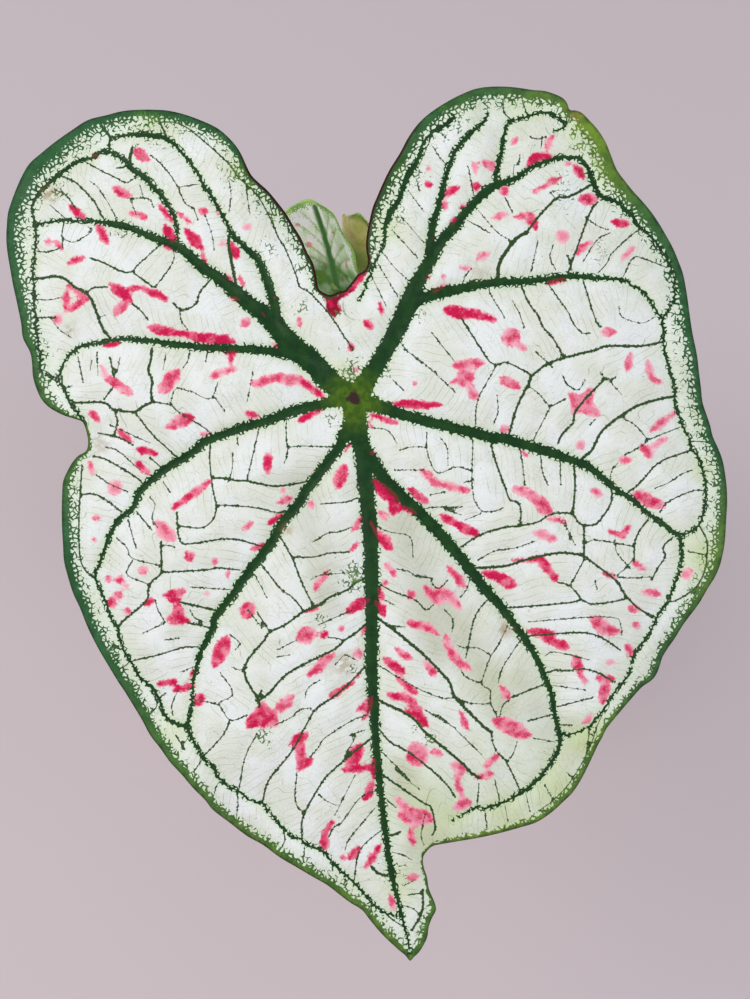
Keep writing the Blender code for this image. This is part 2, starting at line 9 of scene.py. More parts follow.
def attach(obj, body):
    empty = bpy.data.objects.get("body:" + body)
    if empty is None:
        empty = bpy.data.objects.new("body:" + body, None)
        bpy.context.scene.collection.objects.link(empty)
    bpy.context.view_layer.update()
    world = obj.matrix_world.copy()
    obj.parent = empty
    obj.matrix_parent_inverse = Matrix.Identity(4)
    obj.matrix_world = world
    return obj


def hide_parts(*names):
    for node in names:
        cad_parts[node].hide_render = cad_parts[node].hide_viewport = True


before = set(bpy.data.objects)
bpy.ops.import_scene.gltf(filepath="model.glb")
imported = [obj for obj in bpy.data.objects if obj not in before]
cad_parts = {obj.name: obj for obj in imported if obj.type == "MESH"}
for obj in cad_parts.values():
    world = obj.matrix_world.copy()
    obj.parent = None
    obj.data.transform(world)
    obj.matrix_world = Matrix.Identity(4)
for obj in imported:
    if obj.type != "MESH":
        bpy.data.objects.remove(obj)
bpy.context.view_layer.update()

# The pot is red earthenware, thrown on a wheel with a band round its rim and fired without a glaze. Water moves
# through its wall and leaves a pale mineral bloom outside. Three holes through its floor let the water out.
# Its outline gives radius and height, from the middle of the floor inside, over the rim, to the middle underneath.
pot_profile = [
    (0.0, 0.008), (0.0365, 0.008), (0.0401, 0.011), (0.0520, 0.0625), (0.0642, 0.1235), (0.0660, 0.125),
    (0.0685, 0.125), (0.0700, 0.1235), (0.0692, 0.1025), (0.0677, 0.1010), (0.0655, 0.1005), (0.0553, 0.0505),
    (0.0450, 0.0015), (0.0435, 0.0), (0.0, 0.0),
]
pot_steps, edge_cut, wall_step, ridge_depth = 144, 0.0012, 0.003, 0.00014
drain_radius, drain_circle, drains = 0.005, 0.025, 3


def wire(kind, follows, tree=None, **settings):
    """Adds a node with its settings, and gives its inputs a value or an output of its tree to follow."""
    tree = tree or next(value.id_data for value in follows.values() if isinstance(value, bpy.types.NodeSocket))
    made = tree.nodes.new(kind)
    for name, value in settings.items():
        setattr(made, name, value)
    for name, value in follows.items():
        if isinstance(value, bpy.types.NodeSocket):
            tree.links.new(value, made.inputs[name])
        else:
            made.inputs[name].default_value = value
    return made


def maths(operation, *values):
    """One sum on numbers that vary over a surface."""
    return wire("ShaderNodeMath", dict(enumerate(values)), operation=operation).outputs[0]


def times(first, second):
    """One varying number times another."""
    return maths("MULTIPLY", first, second)


def plus(first, second):
    """One varying number and another together."""
    return maths("ADD", first, second)


def tinted(share, first, second):
    """The first colour where the share is 0 and the second where it is 1."""
    return wire("ShaderNodeMix", {0: share, 6: first, 7: second}, data_type="RGBA").outputs[2]


def eased(value, low, high, start=0.0, end=1.0):
    """A smooth rise from start to end as the value goes from low to high."""
    follows = {"Value": value, "From Min": low, "From Max": high, "To Min": start, "To Max": end}
    return wire("ShaderNodeMapRange", follows, interpolation_type="SMOOTHSTEP").outputs["Result"]


def cloudy(place, per_metre, detail=2.0, roughness=0.5):
    """Soft random clouds, about this many across a metre."""
    follows = {"Vector": place, "Scale": per_metre, "Detail": detail, "Roughness": roughness}
    return wire("ShaderNodeTexNoise", follows).outputs["Fac"]


def stretched(place, x, y, z):
    """The place with each axis drawn out or pressed together."""
    return wire("ShaderNodeMapping", {"Vector": place, "Scale": (x, y, z)}).outputs["Vector"]


def bumped(height, metres, under=None):
    """A surface normal for relief of this depth in metres."""
    follows = {"Height": height, "Distance": metres, "Strength": 1.0}
    if under is not None:
        follows["Normal"] = under
    return wire("ShaderNodeBump", follows).outputs["Normal"]


def paint(red, green, blue):
    """A colour as a paint card gives it, from 0 to 255, as the shader takes it."""
    shares = [value / 255 for value in (red, green, blue)]
    return (*[v / 12.92 if v < 0.04 else ((v + 0.055) / 1.055) ** 2.4 for v in shares], 1.0)


def new_finish(name, roughness, gloss=0.5):
    """A material, its Principled shader and the place on the object."""
    material = bpy.data.materials.new(name)
    material.use_nodes = True
    shader = material.node_tree.nodes["Principled BSDF"]
    shader.inputs["Roughness"].default_value = roughness
    shader.inputs["Specular IOR Level"].default_value = gloss
    return material, shader, wire("ShaderNodeTexCoord", {}, material.node_tree).outputs["Object"]


def give(shader, **outputs):
    """Links outputs to the Principled shader's inputs of the same names."""
    for name, output in outputs.items():
        shader.id_data.links.new(output, shader.inputs[name.replace("_", " ")])


def new_group(name, takes, puts_out):
    """A shader node group with inputs and outputs of these names and kinds."""
    group = bpy.data.node_groups.new(name, "ShaderNodeTree")
    for label, kind, start in takes:
        socket = group.interface.new_socket(label, in_out="INPUT", socket_type="NodeSocket" + kind)
        if start is not None:
            socket.default_value = start
    for label, kind in puts_out:
        group.interface.new_socket(label, in_out="OUTPUT", socket_type="NodeSocket" + kind)
    return group, group.nodes.new("NodeGroupInput").outputs, group.nodes.new("NodeGroupOutput").inputs


def placed_group(group, **values):
    """The group's outputs, placed in a material with its own values."""
    follows = {name.replace("_", " "): value for name, value in values.items()}
    return wire("ShaderNodeGroup", follows, node_tree=group).outputs


# Grit: fine grains of two sizes, used on clay, soil and the tuber's skin
grit, taken, given = new_group(
    "grit",
    [("Place", "Vector", None), ("Grains Per Metre", "Float", 900.0)],
    [("Height", "Float"), ("Specks", "Float")],
)
coarse = cloudy(taken["Place"], taken["Grains Per Metre"], 4.0, 0.6)
fine = cloudy(taken["Place"], times(taken["Grains Per Metre"], 2.3), 2.0, 0.7)
both = plus(times(coarse, 0.65), times(fine, 0.35))
grit.links.new(both, given["Height"])
grit.links.new(eased(fine, 0.60, 0.68), given["Specks"])

clay, shader, place = new_finish("unglazed_clay", 0.85, 0.25)
height_up = wire("ShaderNodeSeparateXYZ", {"Vector": place}).outputs["Z"]
firing = cloudy(place, 26.0, 3.0)
colour = tinted(eased(firing, 0.35, 0.65), paint(186, 98, 66), paint(205, 122, 86))
grains = placed_group(grit, Place=place, Grains_Per_Metre=1100.0)
colour = tinted(times(grains["Specks"], 0.35), colour, paint(232, 170, 130))
damp = times(eased(height_up, 0.045, 0.0), eased(cloudy(place, 40.0), 0.35, 0.6))
colour = tinted(times(damp, 0.55), colour, paint(128, 66, 46))
bloom_edge = plus(height_up, times(cloudy(place, 55.0, 5.0, 0.65), 0.045))
bloom = times(eased(bloom_edge, 0.052, 0.094), eased(bloom_edge, 0.150, 0.108))
bloom = times(bloom, eased(cloudy(place, 120.0, 4.0, 0.7), 0.34, 0.70))
colour = tinted(times(bloom, 0.55), colour, paint(222, 190, 170))
lines = cloudy(stretched(place, 6.0, 6.0, 900.0), 1.0, 3.0)
relief = bumped(lines, 0.00012, bumped(grains["Height"], 0.00018))
give(shader, Base_Color=colour, Normal=relief, Roughness=eased(bloom, 0.0, 1.0, 0.82, 0.95))


def rounded(profile, cut):
    """The profile with each corner taken round in five steps."""
    p = [Vector(point) for point in profile]
    made = [p[0]]
    for before, corner, after in zip(p[:-2], p[1:-1], p[2:]):
        start = corner + (before - corner).normalized() * min(cut, (before - corner).length * 0.45)
        end = corner + (after - corner).normalized() * min(cut, (after - corner).length * 0.45)
        for step in range(5):
            t = step / 4
            made.append(start * (1 - t) ** 2 + corner * 2 * t * (1 - t) + end * t**2)
    return made + [p[-1]]


def turned_mesh(name, profile, steps):
    """A closed mesh turned round Z from a profile of radius and height that starts and ends on the axis."""
    bm = bmesh.new()
    rows = []
    for radius, height in profile:
        if radius < 1e-6:
            rows.append([bm.verts.new((0.0, 0.0, height))] * steps)
            continue
        angles = [math.tau * step / steps for step in range(steps)]
        rows.append([bm.verts.new((radius * math.cos(a), radius * math.sin(a), height)) for a in angles])
    for upper, lower in zip(rows[:-1], rows[1:]):
        for step in range(steps):
            ring = [upper[step], upper[(step + 1) % steps], lower[(step + 1) % steps], lower[step]]
            bm.faces.new(list(dict.fromkeys(ring)))
    bmesh.ops.recalc_face_normals(bm, faces=bm.faces)
    mesh = bpy.data.meshes.new(name)
    bm.to_mesh(mesh)
    bm.free()
    mesh.shade_smooth()
    return mesh


def new_piece(name, mesh, *materials):
    """A piece of the plant or its pot, at the origin."""
    piece = bpy.data.objects.new(name, mesh)
    bpy.context.scene.collection.objects.link(piece)
    for material in materials:
        mesh.materials.append(material)
    return piece


def plain_copy(piece):
    """The piece with its modifiers worked into a plain mesh."""
    bpy.context.view_layer.update()
    graph = bpy.context.evaluated_depsgraph_get()
    name, mesh = piece.name, bpy.data.meshes.new_from_object(piece.evaluated_get(graph))
    bpy.data.objects.remove(piece)
    return new_piece(name, mesh)


pot_outline = rounded(pot_profile, edge_cut)
walled = []
for (radius, height), (next_radius, next_height) in zip(pot_outline[:-1], pot_outline[1:]):
    parts = max(1, round(abs(next_height - height) / wall_step))
    for part in range(parts):
        t = part / parts
        level = height + (next_height - height) * t
        ridge = ridge_depth * noise.noise(Vector((0.0, radius * 40, level * 260))) if part else 0.0
        walled.append((radius + (next_radius - radius) * t + ridge, level))
walled.append(tuple(pot_outline[-1]))
pot = new_piece("clay_pot", turned_mesh("clay_pot", walled, pot_steps), clay)
for number in range(drains):
    angle = math.tau * number / drains + math.pi / 2
    bpy.ops.mesh.primitive_cylinder_add(
        vertices=32, radius=drain_radius, depth=0.02,
        location=(drain_circle * math.cos(angle), drain_circle * math.sin(angle), 0.004),
    )
    drill = bpy.context.object
    hole = pot.modifiers.new("drain", "BOOLEAN")
    hole.operation = "DIFFERENCE"
    hole.object = drill
    pot = plain_copy(pot)
    bpy.data.objects.remove(drill)
pot.data.set_sharp_from_angle(angle=math.radians(40))
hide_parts("pot")
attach(pot, "root")

# The soil is a peat mix pressed into the pot: dark crumbs, white grains of perlite that keep it open, and chips of
# bark. It is loose, so its top is a layer of separate grains on the plug of soil beneath.
soil_top, soil_radius = 0.111, 0.0612

earth, shader, place = new_finish("potting_soil", 0.95, 0.2)
grains = placed_group(grit, Place=place, Grains_Per_Metre=700.0)
moist = eased(cloudy(place, 45.0, 3.0), 0.35, 0.65)
colour = tinted(moist, paint(50, 38, 30), paint(82, 63, 48))
colour = tinted(times(grains["Specks"], 0.5), colour, paint(122, 96, 70))
give(shader, Base_Color=colour, Normal=bumped(grains["Height"], 0.0009))

perlite, shader, place = new_finish("perlite", 0.9, 0.3)
grains = placed_group(grit, Place=place, Grains_Per_Metre=1500.0)
dusty = eased(cloudy(place, 300.0), 0.4, 0.65)
colour = tinted(dusty, paint(226, 222, 212), paint(176, 164, 146))
give(shader, Base_Color=colour, Normal=bumped(grains["Height"], 0.0003))

bark, shader, place = new_finish("bark_chip", 0.9, 0.25)
layers = cloudy(stretched(place, 1.0, 1.0, 6.0), 420.0, 3.0)
colour = tinted(eased(layers, 0.35, 0.65), paint(70, 44, 30), paint(128, 86, 58))
give(shader, Base_Color=colour, Normal=bumped(layers, 0.0004))


def new_shape_tree(name, takes):
    """A Geometry Nodes tree with a Geometry input and output, and inputs of these names and kinds."""
    tree = bpy.data.node_groups.new(name, "GeometryNodeTree")
    tree.interface.new_socket("Geometry", in_out="INPUT", socket_type="NodeSocketGeometry")
    for label, kind in takes:
        tree.interface.new_socket(label, in_out="INPUT", socket_type="NodeSocket" + kind)
    tree.interface.new_socket("Geometry", in_out="OUTPUT", socket_type="NodeSocketGeometry")
    return tree, tree.nodes.new("NodeGroupInput").outputs, tree.nodes.new("NodeGroupOutput").inputs


def shaped_by(piece, tree, **values):
    """Puts the tree on the piece with these values, and makes the result a plain mesh."""
    modifier = piece.modifiers.new(tree.name, "NODES")
    modifier.node_group = tree
    for item in tree.interface.items_tree:
        key = item.name.replace(" ", "_")
        if item.item_type == "SOCKET" and item.in_out == "INPUT" and key in values:
            modifier[item.identifier] = values[key]
    return plain_copy(piece)


grains_tree, taken, given = new_shape_tree(
    "scattered grains",
    [
        ("Grains Per Square Metre", "Float"), ("Smallest", "Float"), ("Largest", "Float"), ("Flatness", "Float"),
        ("Tilt", "Float"), ("Raggedness", "Float"), ("Roundness", "Int"), ("Seed", "Int"), ("Finish", "Material"),
    ],
)


def random_number(low, high, seed):
    """A random number for each grain."""
    return wire("FunctionNodeRandomValue", {2: low, 3: high, "Seed": seed}, data_type="FLOAT").outputs[1]


seeds = [plus(taken["Seed"], step) for step in range(6)]
spots = wire(
    "GeometryNodeDistributePointsOnFaces",
    {"Mesh": taken["Geometry"], "Density": taken["Grains Per Square Metre"], "Seed": taken["Seed"]},
)
grain = wire("GeometryNodeMeshIcoSphere", {"Radius": 1.0, "Subdivisions": taken["Roundness"]})
sizes = [random_number(taken["Smallest"], taken["Largest"], seeds[step]) for step in (1, 2)]
thick = times(sizes[0], taken["Flatness"])
scale = wire("ShaderNodeCombineXYZ", {0: sizes[0], 1: sizes[1], 2: thick})
tilt_back = times(taken["Tilt"], -1.0)
tilts = [random_number(tilt_back, taken["Tilt"], seeds[step]) for step in (3, 4)]
spin = random_number(0.0, math.tau, seeds[5])
turn = wire("ShaderNodeCombineXYZ", {0: tilts[0], 1: tilts[1], 2: spin})
way = wire("FunctionNodeEulerToRotation", {0: turn.outputs[0]}).outputs[0]
laid = wire(
    "GeometryNodeInstanceOnPoints",
    {
        "Points": spots.outputs["Points"], "Instance": grain.outputs["Mesh"],
        "Rotation": way, "Scale": scale.outputs[0],
    },
)
real = wire("GeometryNodeRealizeInstances", {"Geometry": laid.outputs["Instances"]})
here = wire("GeometryNodeInputPosition", {}, grains_tree)
ragged = wire("ShaderNodeTexNoise", {"Vector": here.outputs[0], "Scale": 900.0, "Detail": 2.0}).outputs["Color"]
centred = wire("ShaderNodeVectorMath", {0: ragged, 1: (0.5, 0.5, 0.5)}, operation="SUBTRACT").outputs[0]
pushed = wire("ShaderNodeVectorMath", {0: centred, "Scale": taken["Raggedness"]}, operation="SCALE")
moved = wire("GeometryNodeSetPosition", {"Geometry": real.outputs[0], "Offset": pushed.outputs[0]})
last = wire("GeometryNodeSetMaterial", {"Geometry": moved.outputs[0], "Material": taken["Finish"]})
grains_tree.links.new(last.outputs[0], given["Geometry"])


def soil_bed(name, lift):
    """The bed that grains are strewn on: a disc as uneven as the soil's top."""
    bm = bmesh.new()
    bmesh.ops.create_grid(bm, x_segments=60, y_segments=60, size=soil_radius)
    corners = [vertex for vertex in bm.verts if math.hypot(vertex.co.x, vertex.co.y) > soil_radius]
    bmesh.ops.delete(bm, geom=corners, context="VERTS")
    for vertex in bm.verts:
        level = Vector((vertex.co.x, vertex.co.y, soil_top))
        vertex.co.z = soil_top + lift + 0.0012 * noise.noise(level * 45.0)
    mesh = bpy.data.meshes.new(name)
    bm.to_mesh(mesh)
    bm.free()
    return new_piece(name, mesh)


for name, finish, lift, values in [
    ("soil_crumbs", earth, 0.0002, (520000.0, 0.0006, 0.0017, 0.8, 3.1, 0.0011, 1, 11)),
    ("soil_lumps", earth, 0.0002, (42000.0, 0.0016, 0.0032, 0.8, 3.1, 0.0026, 2, 23)),
    ("perlite_grains", perlite, 0.0006, (8500.0, 0.0006, 0.0019, 0.85, 3.1, 0.0013, 2, 37)),
    ("bark_chips", bark, 0.0009, (6200.0, 0.0014, 0.0040, 0.22, 0.5, 0.0016, 2, 41)),
]:
    count, smallest, largest, flatness, tilt, raggedness, roundness, seed = values
    strewn = shaped_by(
        soil_bed(name, lift), grains_tree, Grains_Per_Square_Metre=count, Smallest=smallest, Largest=largest,
        Flatness=flatness, Tilt=tilt, Raggedness=raggedness, Roundness=roundness, Seed=seed, Finish=finish,
    )
    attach(strewn, "root")
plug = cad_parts["soil"]
plug.data.materials.clear()
plug.data.materials.append(earth)

# The tuber is the plant's store: a flattened corm with a papery brown skin, buried under the soil. The petioles
# grow from its crown.
skin, shader, place = new_finish("tuber_skin", 0.85, 0.3)
rings = wire(
    "ShaderNodeTexWave", {"Vector": place, "Scale": 110.0, "Distortion": 3.0, "Detail": 2.0},
    wave_type="BANDS", bands_direction="Z",
)
grains = placed_group(grit, Place=place, Grains_Per_Metre=600.0)
colour = tinted(rings.outputs["Fac"], paint(78, 52, 34), paint(142, 104, 70))
colour = tinted(grains["Specks"], colour, paint(176, 140, 100))
relief = bumped(rings.outputs["Fac"], 0.0006, bumped(grains["Height"], 0.0004))
give(shader, Base_Color=colour, Normal=relief)
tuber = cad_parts["tuber"]
tuber.data.materials.clear()
tuber.data.materials.append(skin)

# Three petioles carry the blades: round, soft, hollow-celled stalks that rise from the tuber, each with a clasping
# sheath at its foot. They are green, streaked with brown low down, and swell a little where they join a blade.
large_seat = Vector((-0.006, -0.106, 0.336))
young_seat = Vector((-0.0148, 0.0126, 0.240))
rolled_seat = Vector((-0.0016, 0.0290, 0.2225))
crown_height, stalk_rings, stalk_sides = 0.0933, 110, 28


def marking(shader, name, output="Fac"):
    """What the mesh holds under this name at each point, for the shader's material."""
    return wire("ShaderNodeAttribute", {}, shader.id_data, attribute_name=name).outputs[output]


def unsteady(place, swing, per_metre, detail=2.0, roughness=0.5):
    """Soft random clouds about 0, of this whole swing."""
    return times(maths("SUBTRACT", cloudy(place, per_metre, detail, roughness), 0.5), swing)


stalk_finish, shader, place = new_finish("petiole_skin", 0.42, 0.45)
up_stalk = marking(shader, "up_stalk")
streaks = cloudy(stretched(place, 1.0, 1.0, 0.10), 1500.0, 3.0, 0.6)
blotches = cloudy(stretched(place, 1.0, 1.0, 0.35), 420.0, 3.0)
green = tinted(eased(up_stalk, 0.25, 0.95), paint(150, 142, 92), paint(112, 148, 66))
green = tinted(times(eased(streaks, 0.35, 0.7), 0.5), green, paint(190, 198, 142))
brown = times(eased(streaks, 0.48, 0.56), eased(blotches, 0.42, 0.58))
brown = times(brown, eased(up_stalk, 0.75, 0.2))
green = tinted(times(brown, 0.85), green, paint(84, 44, 40))
blush = times(eased(up_stalk, 0.30, 0.05), 0.35)
green = tinted(blush, green, paint(176, 104, 96))
give(shader, Base_Color=green, Normal=bumped(streaks, 0.00012))

stalk_tree, taken, given = new_shape_tree(
    "petiole",
    [
        ("Foot Radius", "Float"), ("Blade Radius", "Float"), ("Sheath", "Float"), ("Swelling", "Float"),
        ("Finish", "Material"),
    ],
)
even = wire("GeometryNodeResampleCurve", {"Curve": taken["Geometry"], "Count": stalk_rings})
share = wire("GeometryNodeSplineParameter", {}, stalk_tree).outputs["Factor"]
marked = wire(
    "GeometryNodeStoreNamedAttribute",
    {"Geometry": even.outputs[0], "Name": "up_stalk", "Value": share}, data_type="FLOAT", domain="POINT",
)
thinning = wire(
    "ShaderNodeMapRange", {"Value": share, "To Min": taken["Foot Radius"], "To Max": taken["Blade Radius"]}
)
sheath = times(eased(share, 0.24, 0.06), taken["Sheath"])
swelling = times(eased(share, 0.965, 1.0), taken["Swelling"])
grown = plus(plus(sheath, swelling), 1.0)
radius = times(thinning.outputs["Result"], grown)
section = wire("GeometryNodeCurvePrimitiveCircle", {"Resolution": stalk_sides, "Radius": 1.0}, stalk_tree)
tube = wire(
    "GeometryNodeCurveToMesh",
    {"Curve": marked.outputs[0], "Profile Curve": section.outputs[0], "Scale": radius, "Fill Caps": True},
)
outward = wire("GeometryNodeInputNormal", {}, stalk_tree).outputs[0]
here = wire("GeometryNodeInputPosition", {}, stalk_tree).outputs[0]
drawn_out = wire("ShaderNodeVectorMath", {0: here, 1: (1.0, 1.0, 0.05)}, operation="MULTIPLY")
furrows = unsteady(drawn_out.outputs[0], 0.0005, 650.0, 1.0)
offset = wire("ShaderNodeVectorMath", {0: outward, "Scale": furrows}, operation="SCALE")
furrowed = wire("GeometryNodeSetPosition", {"Geometry": tube.outputs[0], "Offset": offset.outputs[0]})
smooth = wire("GeometryNodeSetShadeSmooth", {"Geometry": furrowed.outputs[0]})
real = wire("GeometryNodeRealizeInstances", {"Geometry": smooth.outputs[0]})
last = wire("GeometryNodeSetMaterial", {"Geometry": real.outputs[0], "Material": taken["Finish"]})
stalk_tree.links.new(last.outputs[0], given["Geometry"])

for name, node, seat, foot, arrival, radii, bend, past_seat in [
    ("large_petiole", "leaf_1_petiole", large_seat, (0, -0.008), (0, -0.42, 0.90), (0.0042, 0.0025), 0.09, -0.0011),
    (
        "young_petiole", "leaf_2_petiole", young_seat,
        (-0.009, 0.004), (0.05, -0.62, 0.78), (0.0024, 0.0015), 0.05, -0.0006,
    ),
    ("rolled_petiole", "leaf_3_petiole", rolled_seat, (0.009, 0.005), (0.02, 0, 1), (0.0022, 0.0020), 0.05, 0.002),
]:
    start = Vector((*foot, crown_height))
    arrival = Vector(arrival).normalized()
    end = seat + arrival * past_seat
    handles = (start, start + Vector((0.0, 0.0, bend)), end - arrival * bend * 0.6, end)
    curve = bpy.data.curves.new(name, "CURVE")
    curve.dimensions = "3D"
    line = curve.splines.new("POLY")
    way = geometry.interpolate_bezier(*handles, 60)
    line.points.add(len(way) - 1)
    for point, step in zip(line.points, way):
        point.co = (*step, 1.0)
    stalk = shaped_by(
        new_piece(name, curve), stalk_tree, Foot_Radius=radii[0], Blade_Radius=radii[1], Sheath=0.45,
        Swelling=0.0 if node == "leaf_3_petiole" else 0.25, Finish=stalk_finish,
    )
    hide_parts(node)
    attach(stalk, "root")

# The large blade is one leaf, thin and papery: white between dark green veins, flecked with pink, with a green margin
# that breaks up into dots. It grows from the petiole as one piece, and its veins stand out as ribs underneath.
# Places in its tables count rightwards and down from the corner of a picture taken square to it.
point_size = 0.250 / 873.3
picture_middle = (375.0, 499.5)
eye_distance, dip = 0.40, math.radians(30.0)
seat_place, sinus_place = (354, 400), (345, 262)
# In metres: how far the tip, lobes and sides droop, the rim waves and turns down, the main veins are sunk, and the
# tissue swells between main veins and between side veins
tip_droop, lobe_droop, side_droop = 0.020, 0.009, 0.012
rim_wave, rim_turned_down, sunk_vein = 0.0030, 0.0022, 0.0010
quilting, fine_quilting = 0.0026, 0.0007
tissue, side_rib, seat_thickness = 0.00045, 0.00022, 0.0024
upper_step, lower_step, feature_gap = 0.00096, 0.00135, 0.00034
rim_step, main_step, side_step = 0.0008, 0.0010, 0.0008
rim = [
    (340, 291), (330, 295), (321, 291), (318, 287), (316, 275), (313, 263), (307, 252), (301, 238), (294, 227),
    (287, 215), (278, 203), (268, 191), (258, 182), (250, 173), (240, 152), (230, 139), (217, 128), (200, 120),
    (183, 114), (167, 110.5), (153, 109.7), (140, 109.7), (123, 111), (107, 115), (88, 120), (72, 130), (55, 142),
    (42, 152.5), (30, 163), (23, 174), (17, 187), (12, 200), (8, 213), (6.7, 227), (6.3, 240), (7.5, 253),
    (10, 268), (13, 285), (17, 303), (21, 323), (23, 338), (30, 352), (32, 363), (33, 377), (37, 390), (42, 400),
    (50, 408), (63, 415), (75, 419), (82.5, 422), (86, 430), (88, 440), (87.5, 448), (85, 452), (78, 456),
    (72, 463), (67, 472), (63, 482), (62, 497), (61.7, 512), (62, 528), (63, 545), (64, 561), (68, 577),
    (73, 593), (80, 608), (88, 628), (98, 648), (108, 665), (117, 680), (125, 692), (133, 705), (142, 720),
    (150, 735), (160, 748), (170, 762), (182, 775), (193, 788), (205, 800), (213, 810), (230, 823), (247, 836),
    (263, 845), (280, 857.5), (297, 867.5), (313, 877), (327, 885), (340, 895), (350, 902.5), (362, 910),
    (370, 920), (380, 932), (390, 942), (400, 951), (406, 956), (410, 961), (414, 957), (420, 951), (427, 938),
    (428.7, 927), (432, 918), (436, 910), (434.5, 902), (429, 889), (427, 877), (424, 868), (423, 858),
    (427, 851), (433, 846), (442, 844), (460, 841), (480, 837.5), (500, 833), (520, 827.5), (537, 822),
    (552, 812), (563, 802), (573, 792), (582, 778), (590, 762), (598, 745), (602, 738), (607, 728), (620, 712),
    (632, 698), (642, 687), (652, 680), (657, 673), (660, 665), (662.5, 657), (668, 648), (675, 638), (683, 625),
    (692, 613), (700, 602), (708, 588), (715, 577), (720, 565), (723, 553), (725, 540), (726.3, 518),
    (727.2, 503), (726.7, 487), (725, 473), (722.5, 460), (718, 448), (713, 437), (710, 425), (706, 413),
    (702.5, 402), (701, 388), (699, 372), (697, 355), (692.5, 333), (690, 317), (687.5, 298), (685, 283),
    (682.5, 272), (678, 260), (673, 248), (667, 237), (660, 225), (652, 213), (643, 202), (633, 191), (625, 181),
    (617, 170), (612, 158), (606, 143), (598, 130), (590, 121), (582, 113), (575, 110.3), (569.7, 110),
    (567.5, 104), (564, 99), (557, 95), (545, 91), (533, 90), (520, 88), (507, 86.7), (490, 86.7), (475, 89),
    (460, 95), (445, 103), (430, 113), (418, 124), (408, 138), (400, 153), (390, 169), (383, 183), (377, 197),
    (372.5, 208), (369, 223), (366.7, 235), (366, 247), (367, 255), (368, 262), (365, 270), (358, 274),
    (355, 278), (345, 290),
]
